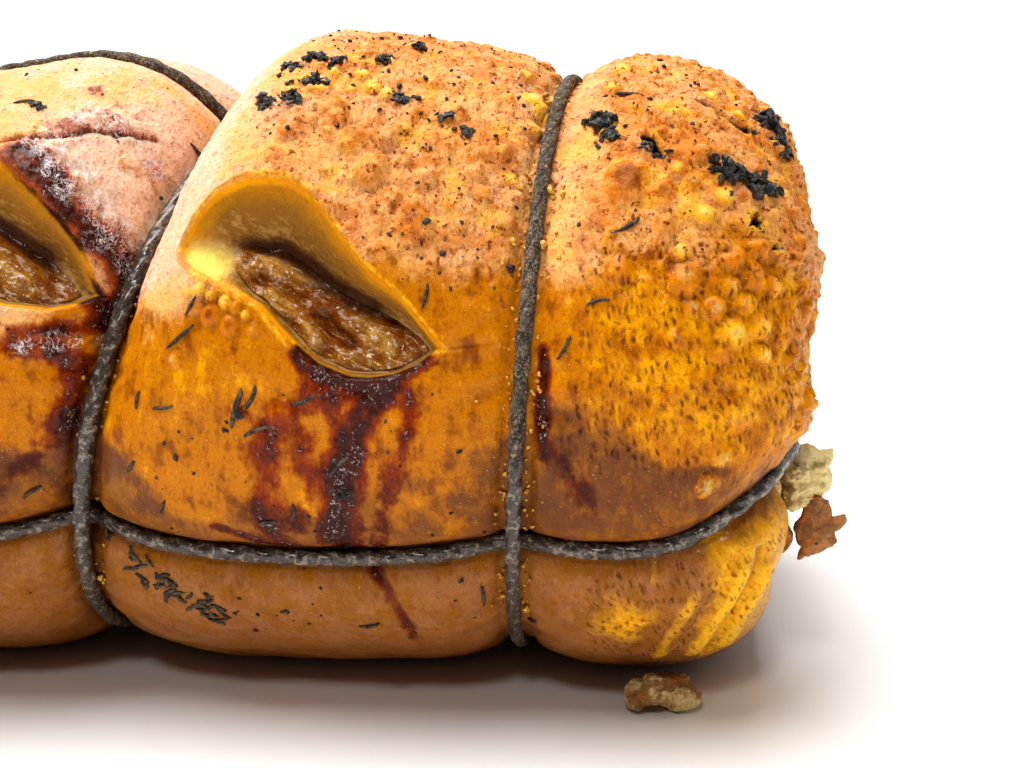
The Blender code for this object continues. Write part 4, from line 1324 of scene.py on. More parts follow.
@dataclass(frozen=True)
class Spiral:
    """The spiral of stuffing in the roll: its angles, radii and thickness."""

    start: float = -40.0
    end: float = 478.0
    inner: float = 0.015
    outer: float = 0.055
    core: float = 0.007
    band: float = 0.0032

    def middle(self, share: Array) -> Array:
        """Radius of the band's middle line at a share of its length."""
        return self.inner + (self.outer - self.inner) * share

    def angle(self, share: Array) -> Array:
        """Angle of the band at a share of its length."""
        return self.start + (self.end - self.start) * share

    def half(self, share: Array) -> Array:
        """Half thickness: wavy along the band and swollen at its inner end."""
        swell = np.exp(-((share / 0.16) ** 2))
        return self.band * (1.0 + 0.22 * np.sin(11.0 * share)) + (self.core - self.band) * swell

    def layer(self, radius: Array, angle: Array) -> Array:
        """Distance from the nearest turn of the band, in metres: the layers follow it.

        Args:
            radius: Distances from the axis.
            angle: Angles round the axis in degrees.
        Returns:
            Distances in metres.
        """
        best = np.full(np.shape(radius), 1.0)
        for turns in (-1, 0, 1):
            share = (turn_gap(angle, 0.0) + 360.0 * turns - self.start) / (self.end - self.start)
            inside = np.clip(share, 0.0, 1.0)
            gap = np.hypot(radius - self.middle(inside), (share - inside) * 0.3)
            best = np.minimum(best, gap)
        return best


SPIRAL = Spiral()


# ---- skin pieces


@dataclass
class SkinSection:
    """One bulge of the roll between two ties, or an end with its shoulder and cut face."""

    name: str
    low: float
    high: float
    slit: Slit | None = None
    pitch: float = 0.0007
    slit_pitch: float = 0.0006
    columns: int = 530
    across: int = 26

    def rows(self) -> Array:
        """Places along the roll of the rings, closer together in the slit and on the rim."""
        marks = [self.low]
        while marks[-1] < self.high:
            station = marks[-1] * FORM.straight
            fine = self.slit and self.slit.left - 0.002 < station < self.slit.right + 0.002
            step = (self.slit_pitch if fine else self.pitch) / FORM.straight
            here = abs(marks[-1])
            if here > 1.0:
                step = 0.02 if here < 2.0 else 0.0045 if here < 2.075 else 0.021
            marks.append(marks[-1] + step)
        marks = np.array(marks)
        return self.low + (marks - self.low) * (self.high - self.low) / (marks[-1] - self.low)

    def column_angles(self) -> Array:
        """Angles of the columns: almost three times as close on the front and top as elsewhere."""
        angles = np.linspace(-180.0, 180.0, 2001)
        density = 1.0 + 1.9 * ease(-75.0, -40.0, angles) * (1.0 - ease(118.0, 140.0, angles))
        total = np.cumsum(density) - density[0]
        return np.interp(np.arange(self.columns) / self.columns * total[-1], total, angles)

    def grid(self) -> tuple[Array, ...]:
        """Places of all vertices, and the vertex numbers of the rings.

        The columns part at the slit: those above bend up to its rim, those below down to its
        lip, and more are laid between them.

        Returns:
            Along and angle of each vertex, whether it is in the slit, and the index grid.
        """
        along = self.rows()
        angles = self.column_angles()
        if self.slit is None:
            a = np.broadcast_to(angles, (len(along), len(angles)))
            u = np.broadcast_to(along[:, None], a.shape)
            index = np.arange(a.size).reshape(a.shape)
            return u.ravel(), a.ravel(), np.zeros(a.size, bool), index
        slit, s = self.slit, along * FORM.straight
        centre = 0.5 * float(slit.middle(slit.left) + slit.middle(slit.right))
        seam = int(np.argmin(np.abs(angles - centre)))
        held = np.clip(s, slit.left, slit.right)
        fade = np.exp(-(((s - held) / 0.01) ** 2))
        inside = (s > slit.left + 1e-5) & (s < slit.right - 1e-5)
        over = np.where(inside, slit.rim(s), slit.middle(held))
        below = np.where(inside, slit.lip(s), slit.middle(held))
        over, below = (angles[seam] + (v - angles[seam]) * fade for v in (over, below))
        near = np.abs(angles - angles[seam])
        fall = 1.0 - ease(0.0, 48.0, near)
        upper = angles[: seam + 1] + (over - angles[seam])[:, None] * fall[: seam + 1]
        lower = angles[seam:] + (below - angles[seam])[:, None] * fall[seam:]
        inner_s, inner_a = self.cavity(s, over, below)
        u = np.broadcast_to(s[:, None], upper.shape)
        v = np.broadcast_to(s[:, None], lower.shape)
        s_all = np.hstack([u, inner_s, v])
        a_all = np.hstack([upper, inner_a, lower])
        hollow = np.zeros(s_all.shape, bool)
        hollow[:, seam + 1 : seam + 1 + inner_s.shape[1]] = True
        used = np.ones(s_all.shape, bool)
        used[:, seam + 1 : seam + 2 + inner_s.shape[1]] = inside[:, None]
        index = np.cumsum(used).reshape(used.shape) - 1
        index = np.where(used, index, index[:, [seam]])
        along_all = np.where(np.abs(s_all) > 0, s_all / FORM.straight, 0.0)
        return along_all[used], a_all[used], hollow[used], index

    def cavity(self, s: Array, over: Array, below: Array) -> tuple[Array, Array]:
        """Places inside the slit, on lines from its rim to its lip, closer together near both.

        Args:
            s: Stations of the rings.
            over: Angle of the rim at each ring.
            below: Angle of the lip at each ring.
        Returns:
            Stations and angles, one row for each ring.
        """
        turn = np.pi * np.arange(1, 2 * self.across) / (2 * self.across)
        share = 0.5 - 0.5 * np.cos(turn)
        angle = over[:, None] + (below - over)[:, None] * share
        return np.broadcast_to(s[:, None], angle.shape), angle

    def build(self, material: Material) -> Item:
        """Make the section as one closed mesh with its finishes stored on the vertices.

        Args:
            material: Its finish.
        Returns:
            The piece.
        """
        along, angle, hollow, index = self.grid()
        at = FORM.place(along, angle)
        out = FORM.normal(along, angle)
        s = FORM.station(along)
        marks = SKIN_MAP.finishes(s, angle, at)
        relief = SKIN_MAP.relief(s, angle, at, marks)
        lift = relief.pop("lift")
        inner = {name: np.zeros_like(s) for name in ("depth", "cut", "crevice", "web")}
        if self.slit is not None:
            for name, value in self.slit.hollow(s[hollow], angle[hollow]).items():
                inner[name][hollow] = value
        depth, cut = inner["depth"], inner["cut"]
        here = np.abs(along)
        share = FORM.rim * (3.0 - here)
        face_cut = np.where(here > 2.0, 3.0 * ease(FORM.rim - 0.004, FORM.lip - 0.06, share), 0.0)
        cut = np.maximum(cut, face_cut)
        skin = 1.0 - np.clip(cut * 2.0, 0.0, 1.0)
        carved, heap = CUT_FACE.slit(s, angle, at, cut)
        lift = lift * skin + np.where(here > 2.0, CUT_FACE.end(at, cut), carved)
        for slit in SLITS:
            lift = lift + slit.hood_rise(s, angle) * (here <= 1.0)
        low = ease(0.003, 0.0, at[:, 2])
        lift = np.where(low > 0.0, np.minimum(lift, 0.0) * (1.0 - low), lift)
        points = at + out * (lift - depth)[:, None]
        points[:, 2] = np.maximum(points[:, 2], 0.0)
        radius = np.hypot(at[:, 1], at[:, 2] - FORM.axis)
        marks.update({name: value * skin for name, value in relief.items()})
        marks.update(
            cut=cut, web=inner["web"], crevice=inner["crevice"], heap=heap,
            layer=SPIRAL.layer(radius, angle) / 0.01,
            facing=np.clip(here - 2.0, 0.0, 1.0), run=s * 100.0, ring=arc(angle) * 100.0,
        )
        poles = [points[index[0]].mean(axis=0), points[index[-1]].mean(axis=0)]
        count = len(points)
        faces = tube_faces(index, count, count + 1)
        item = lay_mesh(self.name, np.vstack([points, poles]), *faces)
        for name in list(marks):
            marks[name] = np.concatenate([marks[name], marks[name][index[[0, -1], 0]]])
        paint_values(item, marks)
        return install(item, material, ["roll"])


@dataclass(frozen=True)
class SkinFinish:
    """Roasted skin from matte peach through glossy amber to maroon glaze, with its cut faces."""

    peach: str = "ffd8a6"
    apricot: str = "fcbe74"
    ember: str = "cc7a20"
    rose: str = "ffdcc8"
    mauve: str = "a05c44"
    orange: str = "d67a06"
    honey: str = "ffc420"
    # Cream: pale strands of the meat, and the colour of painted highlights and sparkle.
    cream_and_highlight: str = "ffd88a"
    amber: str = "cc7e00"
    caramel: str = "8e4a06"
    gold: str = "f0a800"
    # Russet of the painted shade in hollows and creases.
    shade_russet: str = "94500e"
    tan: str = "9c6216"
    fawn: str = "7c4614"
    # Dusk: brown of the low band, partly painted shade.
    dusk_shade: str = "6c422a"
    sand: str = "c48854"
    shade: str = "d09c6c"
    freckle: str = "8a4216"
    dash: str = "8c5c34"
    umber: str = "482008"
    maroon: str = "340a05"
    wine: str = "a84c1c"
    # Dark brown of grease by the twine and of glaze on cut edges, also used as painted shade in the
    # twine's grooves.
    seep_shade: str = "381408"
    soot: str = "0e0b0a"
    rind: str = "e8940e"
    olive: str = "9a6a26"
    fat: str = "80541f"
    web: str = "fce974"
    meat: str = "a4681a"
    # Sinew: pale meat on the heaps, partly painted highlight.
    sinew_and_highlight: str = "d6a04a"
    # Liver: darkest meat in the hollows and the crevice, partly painted shade.
    liver_and_shade: str = "40180c"
    strand: str = "d8ac68"
    roast: str = "a87450"
    crust: str = "c08214"
    ripe: str = "9c4c02"
    # Pale colour of the painted glints and highlights.
    painted_gleam: str = "f6e8e6"
    fibre_turn: float = 0.5

    def build(self) -> Material:
        """Lay the finishes over each other from the numbers stored on the mesh."""
        g = Graph(bpy.data.materials.new("roasted_skin"))
        n = Clouds({
            "wide": g.noise(0.018, 3.0), "mid": g.noise(0.006, 4.0, 0.6),
            "grit": g.noise(0.0021, 4.0, 0.68), "fine": g.noise(0.0008, 3.0, 0.6),
            "dust": g.noise(0.00042, 2.0, 0.5), "grain": self.streaks(g, 3.0, 1.1),
            "band": self.streaks(g, 2.4, 3.4),
        })
        sway = n.sway(wide=0.5, mid=0.8, grit=0.5, band=0.7)
        amber_on = (g.value("amber") * 1.3 + sway * 0.8).step(0.25, 0.75)
        dull_on = (g.value("dull") * 1.5 + sway * 0.9).step(0.25, 0.95)
        ruddy = (g.value("tone") * -1.0).step(0.1, 0.6)
        runny = g.value("glaze") + n.sway(mid=1.0, grit=0.6, band=0.8)
        film, thick = runny.step(0.1, 0.6), runny.step(0.5, 1.0)
        scorch = (g.value("char") * 0.8 + n.sway(fine=0.9, grit=1.8)).step(0.35, 1.0)
        freckles, follicle = self.freckles(g, n), self.pores(g, n)
        skin = Layers(g, self, "apricot")
        self.top_colours(g, n, skin, sway)
        self.side_colours(g, n, skin, amber_on, dull_on)
        self.blister_colours(g, n, skin, ruddy)
        self.spot_colours(g, n, skin, freckles, follicle)
        self.glaze_colours(g, n, skin, film, thick)
        skin.lay(g.value("pit").step(0.25, 0.6), "soot")
        skin.lay(scorch * 0.85, "soot")
        self.cut_colours(g, n, skin)
        cut, wet = g.value("cut"), g.value("bulge")
        inside, lean_meat = cut.step(0.25, 0.6), cut.step(2.3, 2.9)
        rough = 0.44 - amber_on * 0.12 - film * 0.1 - wet * 0.12 + scorch * 0.3
        rough = rough + n.sway(fine=0.22, grit=0.16)
        rough = rough * (1.0 - inside) + inside * (0.46 - lean_meat * 0.22)
        sleek = (1.0 - amber_on * 0.6 - dull_on * 0.25) * (1.0 - ruddy * 0.2)
        height = (n.mean(grit=0.55, fine=0.26, grain=0.26) - freckles * 0.12) * sleek
        height = height - follicle * 0.3 + lean_meat * n.mean(fine=0.7, grit=0.5)
        height = height + thick * (g.cells(0.0017, "SMOOTH_F1") * 0.9 - 0.3)
        coat = g.value("crackle") * 0.02 + amber_on * 0.14 + thick * 0.2
        coat = (coat + wet * 0.55 + lean_meat * 0.6).least(0.7)
        return g.finish({
            "Base Color": skin.top, "Roughness": rough, "Normal": g.bump(height, 0.0015),
            "Subsurface Weight": 0.1, "Subsurface Radius": (0.0042, 0.0019, 0.0008),
            "Subsurface Scale": 1.0, "Specular IOR Level": 0.1, "Coat Roughness": 0.1,
            "Coat IOR": 1.4, "Coat Weight": coat,
        })

    def top_colours(self, g: Graph, n: Clouds, skin: Layers, sway: Tap) -> None:
        """Peach, rose and orange of the matte skin on top, stronger where it crackles.

        Args:
            g: The material's graph.
            n: Its noises.
            skin: Its layers of colour, to which these are added.
            sway: Noise that makes the edges of a finish wander.
        """
        crackle, grain, grit = g.value("crackle"), n.noises["grain"], n.noises["grit"]
        skin.lay(n.mean(grit=0.4, mid=0.6).step(0.45, 0.62), "peach")
        skin.lay(grain.step(0.5, 0.64) * (crackle * 0.4 + 0.1), "ember")
        rosy = (g.value("pink") + sway * 0.9).step(0.3, 0.85)
        skin.lay(rosy * (0.85 - crackle * 0.5), "rose")
        skin.lay(rosy * crackle.least(1.0) * grit.step(0.49, 0.6) * 0.62, "mauve")
        skin.lay(crackle * 0.36, "ember")
        warm = (n.mean(mid=0.62, grit=0.38) + n.sway(wide=0.4)).step(0.47, 0.57)
        skin.lay(warm * (crackle * 0.68 + 0.06).least(0.8), "orange")
        light = g.noise(0.009, 5.0, 0.66, g.place((1, 1, 1), (0.9, 0, 0))).step(0.5, 0.62)
        skin.lay(light * (crackle * 0.28 + 0.1), "honey")

    def side_colours(
        self, g: Graph, n: Clouds, skin: Layers, amber_on: Tap, dull_on: Tap
    ) -> None:
        """Glossy amber down the sides, and dull tan with yellow folds below it; the tan is darkened
        partly as painted shade of the low front, the folds get painted light on their ridges and
        painted shade in their creases.

        Args:
            g: The material's graph.
            n: Its noises.
            skin: Its layers of colour, to which these are added.
            amber_on: Where the skin is amber.
            dull_on: Where it is dull.
        """
        gold, under, fold = g.value("gold"), g.value("under"), g.value("fold")
        depth = n.mean(band=0.42, mid=0.32, grit=0.1, wide=0.16)
        deep = Layers(g, self, "gold")
        deep.lay((depth - gold * 0.08).step(0.34, 0.46), "amber")
        deep.lay((depth - gold * 0.015).step(0.49, 0.6) * 0.82, "caramel")
        skin.lay(amber_on, deep)
        # The low band's tan, fawn and dusk: its own duller brown, darkened partly as painted shade
        # of the low front.
        low = Layers(g, self, "tan")
        low.lay((depth + n.sway(grain=0.3)).step(0.45, 0.54), "fawn")
        low.lay((1.0 - under) * n.mean(wide=0.5, mid=0.5).step(0.44, 0.56) * 0.75, "dusk_shade")
        low.lay(under * n.mean(mid=0.5, band=0.5).step(0.4, 0.58) * 0.55, "sand")
        yellow = Layers(g, self, "gold")
        yellow.lay(under * n.noises["grit"].step(0.45, 0.6), "honey")
        low.lay((gold * 0.8 + n.sway(mid=1.6, band=0.8)).step(0.2, 1.05) * 0.95, yellow)
        # Painted light and shade on the folds: honey on the raised ridges, russet in the sunk
        # creases.
        low.lay((fold + n.sway(mid=0.9)).step(0.35, 0.85) * 0.85, "honey")
        low.lay((n.sway(mid=1.6) - fold).step(0.2, 0.9) * 0.6, "shade_russet")
        skin.lay(dull_on * 0.95, low)
        skin.lay(n.mean(fine=0.6, dust=0.4).step(0.5, 0.6) * 0.42, "shade", "MULTIPLY")

    def blister_colours(self, g: Graph, n: Clouds, skin: Layers, ruddy: Tap) -> None:
        """Painted shade in the hollows and on the orange flanks of the bubbles, painted highlights
        on their pale crests, the blisters' own tones and the rim's glow.

        Args:
            g: The material's graph.
            n: Its noises.
            skin: Its layers of colour, to which these are added.
            ruddy: Where a blister is reddish.
        """
        rise, tone, grit = g.value("rise"), g.value("tone"), n.noises["grit"]
        # Painted shade: russet in the hollows between the bubbles, where they sit low.
        skin.lay((n.sway(grit=1.2) - rise).step(0.02, 0.5) * 0.7, "shade_russet")
        # Painted shade: orange on the bubbles' flanks.
        slope = rise.step(0.08, 0.35) * (1.0 - rise.step(0.5, 0.8))
        skin.lay(slope * grit.step(0.42, 0.54) * 0.55, "orange")
        # Painted highlights: cream on the bubbles' crests.
        painted_crest_light = (rise + n.sway(grit=0.9)).step(0.52, 0.92) * (1.0 - ruddy * 0.75)
        skin.lay(painted_crest_light * n.noises["mid"].step(0.44, 0.56) * 0.38, "cream_and_highlight")
        browned = (n.sway(mid=1.2) - tone).step(0.7, 0.95)
        ripe = Layers(g, self, "orange")
        ripe.lay(browned, "ripe")
        ripe.lay(n.mean(grit=0.6, mid=0.4).step(0.46, 0.62) * (browned * 0.6 + 0.25), "caramel")
        skin.lay((n.sway(mid=1.3, grit=1.2) - tone).step(0.2, 0.95) * 0.88, ripe)
        broken = tone + n.sway(grit=1.1, fine=0.5)
        skin.lay(broken.step(0.25, 0.85) * 0.72, "honey")
        # Painted highlights: cream on the tops of the yellow blisters.
        skin.lay((broken + rise).step(1.3, 1.75) * 0.45, "cream_and_highlight")
        glow = Layers(g, self, "rind")
        glow.lay(grit.step(0.45, 0.58), "honey")
        skin.lay((g.value("rim") + n.sway(grit=1.1, mid=0.6)).step(0.25, 0.75) * 0.7, glow)

    def freckles(self, g: Graph, n: Clouds) -> Tap:
        """Noise of the freckles, a little stretched along the roll."""
        place = g.place((1, 0.8, 0.8), (0.4, 0, 0))
        return g.noise(0.0012, 3.0, 0.6, place) + n.sway(grit=0.5)

    def spot_colours(
        self, g: Graph, n: Clouds, skin: Layers, freckles: Tap, follicle: Tap
    ) -> None:
        """Small things over the ground: painted sparkle, freckles, dark dots, follicles, and
        seepage with painted shade beside the twine.

        Args:
            g: The material's graph.
            n: Its noises.
            skin: Its layers of colour, to which these are added.
            freckles: Noise of the freckles.
            follicle: How deep a follicle is.
        """
        # Painted sparkle: tiny pale highlight dots, kept off the glaze.
        sparkle = n.noises["dust"].step(0.64, 0.72) * n.noises["fine"].step(0.5, 0.6) * 0.6
        skin.lay(sparkle * (1.0 - g.value("glaze").least(1.0)), "cream_and_highlight")
        spotty = g.value("crackle") * 0.85 + 0.3
        skin.lay(freckles.step(0.59, 0.68) * spotty * 0.8, "freckle")
        dots = g.noise(0.001, 2.0, 0.5, g.place((1, 1, 1), (2.1, 0, 0))) + n.sway(mid=0.25)
        skin.lay(dots.step(0.72, 0.77) * spotty, "umber")
        skin.lay(follicle, "dash", "MULTIPLY")
        # Darkening beside the ties and along the creases of the long twine: partly grease, partly
        # painted shade.
        seep_shade = (g.value("twine_seep_shade") + n.sway(grit=0.7, mid=0.6)).step(0.2, 0.95)
        skin.lay(seep_shade * 0.88, "seep_shade")

    def glaze_colours(self, g: Graph, n: Clouds, skin: Layers, film: Tap, thick: Tap) -> None:
        """A thin film and thick runs of glaze with painted glints, and painted highlights as pale
        crinkled lines on the crinkled fat.

        Args:
            g: The material's graph.
            n: Its noises.
            skin: Its layers of colour, to which these are added.
            film: Where the glaze is at least thin.
            thick: Where it is thick.
        """
        skin.lay(film * 0.9, "wine", "MULTIPLY")
        skin.lay(thick * 0.9, "maroon")
        # Painted glints: small pale dots on the thick glaze.
        glints = n.mean(fine=0.55, dust=0.45).step(0.535, 0.6)
        glints = glints * n.mean(mid=1.0, grit=1.0).step(0.98, 1.12)
        skin.lay(glints * thick * 0.42, "painted_gleam")
        # Painted highlights: thin pale wandering lines on the fat bulges, standing in for
        # reflections.
        crinkle = self.crinkle(g, 0.0042).most(self.crinkle(g, 0.0024))
        lit = (g.value("bulge") + n.sway(mid=2.2)).step(0.45, 0.85)
        skin.lay(crinkle * lit * 0.78, "painted_gleam")

    def streaks(self, g: Graph, stretch: float, size: float) -> Tap:
        """Noise drawn out down the skin, whose threads are about size millimetres wide."""
        ring = g.value("ring")
        flat = {0: g.value("run") * 10.0 - ring * 1.4, 1: ring * (10.0 / stretch), 2: 0.0}
        return g.noise(size, 4.0, 0.62, g.node("CombineXYZ", flat).outputs[0])

    def crinkle(self, g: Graph, size: float) -> Tap:
        """Thin wandering lines: where cloudy noise, size wide, passes through its middle."""
        away = g.noise(size, 3.0, 0.6, bend=1.2) - 0.5
        return 1.0 - (away * away).step(0.0, 0.0007)

    def pores(self, g: Graph, n: Clouds) -> Tap:
        """Rows of bristle follicles: soft dashes about 2 mm apart, long down the skin.

        Args:
            g: The material's graph.
            n: Its noises.
        Returns:
            How deep a follicle is, from 0 to 1.
        """
        ring = g.value("ring")
        lean = g.value("run") * 10.0 - ring * 2.0 + n.sway(mid=4.0)
        flat = {0: lean * (1.0 / 1.45), 1: ring * (10.0 / 3.6) + n.sway(grit=0.8)}
        joined = g.node("CombineXYZ", flat).outputs[0]
        sockets = {"Vector": joined, "Scale": 1.0, "Randomness": 0.92}
        node = g.node("TexVoronoi", sockets, voronoi_dimensions="2D")
        gap = Tap(g, node.outputs["Distance"])
        split = g.node("SeparateColor", {"Color": node.outputs["Color"]})
        chance = Tap(g, split.outputs["Red"])
        dash = 1.0 - (gap + n.sway(grit=0.5)).step(0.02, 0.36)
        strength = (g.value("pore") + n.sway(mid=1.8)).step(0.2, 1.0)
        return dash * strength * (chance * 0.75 + 0.25) * 0.95

    def cut_colours(self, g: Graph, n: Clouds, skin: Layers) -> None:
        """Lay rind, fat and meat in turn where the skin is cut, with painted shade in the meat's
        hollows and in the crevice at the wall's foot and painted highlights on its heaps, and an
        end face's own layers.

        Args:
            g: The material's graph.
            n: Its noises.
            skin: Its layers of colour, to which these are added.
        """
        cut, grit = g.value("cut"), n.noises["grit"]
        torn = cut + n.sway(grit=0.45, mid=0.35)
        edge = Layers(g, self, "rind")
        edge.lay(n.mean(mid=0.6, grit=0.4).step(0.44, 0.58), "gold")
        edge.lay((g.value("glaze") * 1.3 + n.sway(grit=0.8)).step(0.25, 0.85), "seep_shade")
        skin.lay(torn.step(0.05, 0.4), edge)
        inward = cut - 1.0 + n.sway(mid=0.5, grit=0.3)
        line = g.place((6, 1, 1), (0, self.fibre_turn, 0), "TEXTURE")
        strand, thread = g.noise(0.0024, 5.0, 0.66, line, 0.4), g.noise(0.0008, 3.0, 0.6, line)
        fat = Layers(g, self, "crust")
        fat.lay(inward.step(0.02, 0.4), "olive")
        fat.lay(inward.step(0.45, 0.95), "fat")
        hairs = grit * 0.5 + thread * 0.5 + (inward - 0.5) * 0.3
        fat.lay(hairs.step(0.5, 0.66) * 0.5, "strand")
        skin.lay(torn.step(0.6, 1.15), fat)
        fibres = (strand - 0.5) * 2.2 + (thread - 0.5) * 1.8
        heap = g.value("heap") * 0.75 + fibres + n.sway(grit=1.5)
        # The meat darkens into its hollows and pales on its heaps: partly its own fibres, partly
        # painted shade and painted highlights.
        meat = Layers(g, self, "liver_and_shade")
        meat.lay(heap.step(-1.2, -0.5), "caramel")
        meat.lay(heap.step(-0.5, 0.1), "meat")
        meat.lay(heap.step(0.1, 0.9) * 0.9, "sinew_and_highlight")
        pale = (thread * 0.75 + strand * 0.25 + n.sway(grit=0.25)).step(0.58, 0.66)
        meat.lay(pale * heap.step(-0.8, 0.0) * 0.75, "cream_and_highlight")
        # Painted highlights: pale glints on the meat's heaps.
        spark = n.mean(grit=0.5, fine=0.5).step(0.54, 0.6) * heap.step(-0.3, 0.6)
        meat.lay(spark * 0.8, "painted_gleam")
        skin.lay(torn.step(2.15, 2.5), meat)
        # Painted shade: dark colour in the crevice at the foot of the slit's upper wall.
        crevice = g.value("crevice") + n.sway(grit=0.4, mid=0.5)
        skin.lay(crevice.step(0.25, 0.9) * 0.92, "liver_and_shade")
        ragged = g.value("web") + n.sway(grit=0.35, mid=0.5)
        skin.lay(ragged.step(0.1, 0.45) * cut.step(0.6, 1.4) * 0.8, "strand")
        skin.lay(ragged.step(0.32, 0.9) * cut.step(0.15, 0.6), "web")
        layer = g.value("layer") + n.sway(mid=1.1, wide=0.9)
        seam = layer.step(0.5, 0.62) * (1.0 - layer.step(0.82, 0.95))
        face = Layers(g, self, "roast")
        face.lay(n.mean(wide=0.5, mid=0.5).step(0.42, 0.58), "tan")
        face.lay(n.mean(grit=0.6, mid=0.4).step(0.5, 0.62) * 0.6, "fawn")
        face.lay(seam * n.mean(mid=0.5, grit=0.5).step(0.4, 0.56) * 0.55, "strand")
        skin.lay(g.value("facing").step(0.0, 0.04) * torn.step(2.15, 2.5), face)


# ---- stuffing


@dataclass
class SpiralBand:
    """The stuffing's spiral band through the whole roll, with crumbly ends that stand out."""

    name: str = "stuffing_spiral"
    half_length: float = 0.1515
    steps: int = 420
    profile: int = 26
    neck: float = 0.016

    def build(self, material: Material) -> Item:
        """A long flat loop of points carried along the spiral, rounded and crumbly at both ends.

        The loop's half thickness follows a quarter turn at each end: x runs with the sine and
        the thickness with the cosine.

        Args:
            material: Its finish.
        Returns:
            The piece.
        """
        share = np.linspace(0.0, 1.0, self.steps)[:, None]
        t = np.linspace(-1.0, 1.0, self.profile)
        reach = 1.0 - np.abs(t)
        x_end = self.half_length - self.neck * (1.0 - reach) ** 2.2
        w_end = np.sign(t) * (1.0 - (1.0 - np.minimum(1.0, np.abs(t) * 1.9)) ** 2) ** 0.5
        x = np.concatenate([x_end, -x_end[::-1]])
        w = np.concatenate([w_end, w_end[::-1]])
        taper = np.minimum(1.0, (1.0 - np.abs(2.0 * share - 1.0)) * 30.0 + 0.1) ** 0.5
        half = SPIRAL.half(share) * taper
        radius = SPIRAL.middle(share) + w[None, :] * half
        turn = np.radians(SPIRAL.angle(share)) + 0.0 * radius
        x_all, z = np.broadcast_to(x, radius.shape), FORM.axis + radius * np.cos(turn)
        rings = columns(x_all, -radius * np.sin(turn), z)
        rough = GRAIN.smooth(rings, 0.0042) * 0.9 + GRAIN.smooth(rings + 0.4, 0.0017) * 0.5
        push = np.sign(x)[None, :] * np.exp(-((self.half_length - np.abs(x)) / 0.004) ** 2)
        rings[..., 0] += push * MM * np.clip(rough, -1.5, 0.9)
        item = lay_mesh(self.name, *join_tubes([(rings, False)]))
        paint_values(item, {"shade": np.full(rings.size // 3, 0.5)})
        return install(item, material, ["stuffing"])


@dataclass
class CrumbLump:
    """A ragged lump of stuffing: a ball whose radius is worked by lumps, crumbs and cracks."""

    centre: Triple
    halves: Triple
    ragged: float = 0.3
    detail: int = 84
    shade: float = 0.35

    def rings(self) -> Array:
        """Rings of points from pole to pole, each pushed out along its own direction."""
        lat = np.linspace(-math.pi / 2, math.pi / 2, self.detail // 2 + 2)[1:-1, None]
        lon = np.linspace(0.0, 2.0 * math.pi, self.detail, endpoint=False)[None, :]
        way = np.stack(
            [np.sin(lat) + 0.0 * lon, np.cos(lat) * np.cos(lon), np.cos(lat) * np.sin(lon)], axis=-1
        )
        centre, halves = np.array(self.centre), np.array(self.halves)
        at = centre + way * halves
        coarse = GRAIN.smooth(at, 0.006) * 1.2
        near, second, _ = GRAIN.cells(at, 0.003)
        crumb = np.clip(1.0 - near**2 * 1.6, -0.4, 1.0)
        near, _, drawn = GRAIN.cells(at + 0.3, 0.0015)
        fine = np.clip(1.0 - near**2 * 2.0, -0.6, 1.0) * (0.4 + 0.6 * drawn)
        size = 1.0 + self.ragged * (0.75 * coarse + 0.42 * (crumb - 0.7) + 0.3 * fine - 0.3)
        return centre + way * halves * np.clip(size, 0.25, 1.04)[..., None]


@dataclass
class Flake:
    """A thin ragged flake that hangs upright, seen broad from the front.

    Corners are round its middle, in millimetres along X and Z. Its rings run from the middle of
    the front over the ragged outline to the middle of the back.
    """

    centre: Triple
    corners: Points
    thick: float
    detail: int = 96
    shade: float = 0.35

    def rings(self) -> Array:
        """Rings of points: the outline times a quarter turn's cosine, as thick as its sine."""
        x, z = np.array(self.corners).T
        bearing = np.degrees(np.arctan2(z, x)) % 360.0
        order = np.argsort(bearing)
        around = np.linspace(0.0, 360.0, self.detail, endpoint=False)
        reach = np.interp(around, bearing[order], np.hypot(x, z)[order], period=360.0) * MM
        lat = np.linspace(-math.pi / 2, math.pi / 2, self.detail // 2 + 2)[1:-1, None]
        turn = np.radians(around)[None, :]
        out = np.cos(lat) ** 0.55 * reach
        shape = np.stack(
            [out * np.cos(turn), -self.thick * np.sin(lat) + 0.0 * out, out * np.sin(turn)], axis=-1
        )
        at = np.array(self.centre) + shape
        ragged = 0.5 * GRAIN.smooth(at, 0.0035) + 0.35 * GRAIN.smooth(at + 0.2, 0.0013)
        shape[..., [0, 2]] *= (1.0 + 0.22 * ragged * np.cos(lat))[..., None]
        wave = 1.1 * GRAIN.smooth(at + 0.6, 0.0075) + 0.5 * GRAIN.smooth(at + 0.4, 0.0028)
        shape[..., 1] += MM * wave + 0.3 * self.thick * ragged
        return np.array(self.centre) + shape


@dataclass
class LumpGroup:
    """Several lumps of stuffing that stick together, as one piece."""

    name: str
    lumps: tuple[CrumbLump | Flake, ...]
    nodes: tuple[str, ...]

    def build(self, material: Material) -> Item:
        """Lay the lumps' closed balls side by side in one mesh.

        Args:
            material: Its finish.
        Returns:
            The piece.
        """
        tubes = [(lump.rings(), False) for lump in self.lumps]
        points, quads, tris = join_tubes(tubes)
        points[:, 2] = np.maximum(points[:, 2], 0.0)
        item = lay_mesh(self.name, points, quads, tris)
        shades = [np.full(r.size // 3 + 2, lump.shade) for (r, _), lump in zip(tubes, self.lumps)]
        paint_values(item, {"shade": np.concatenate(shades)})
        return install(item, material, self.nodes)


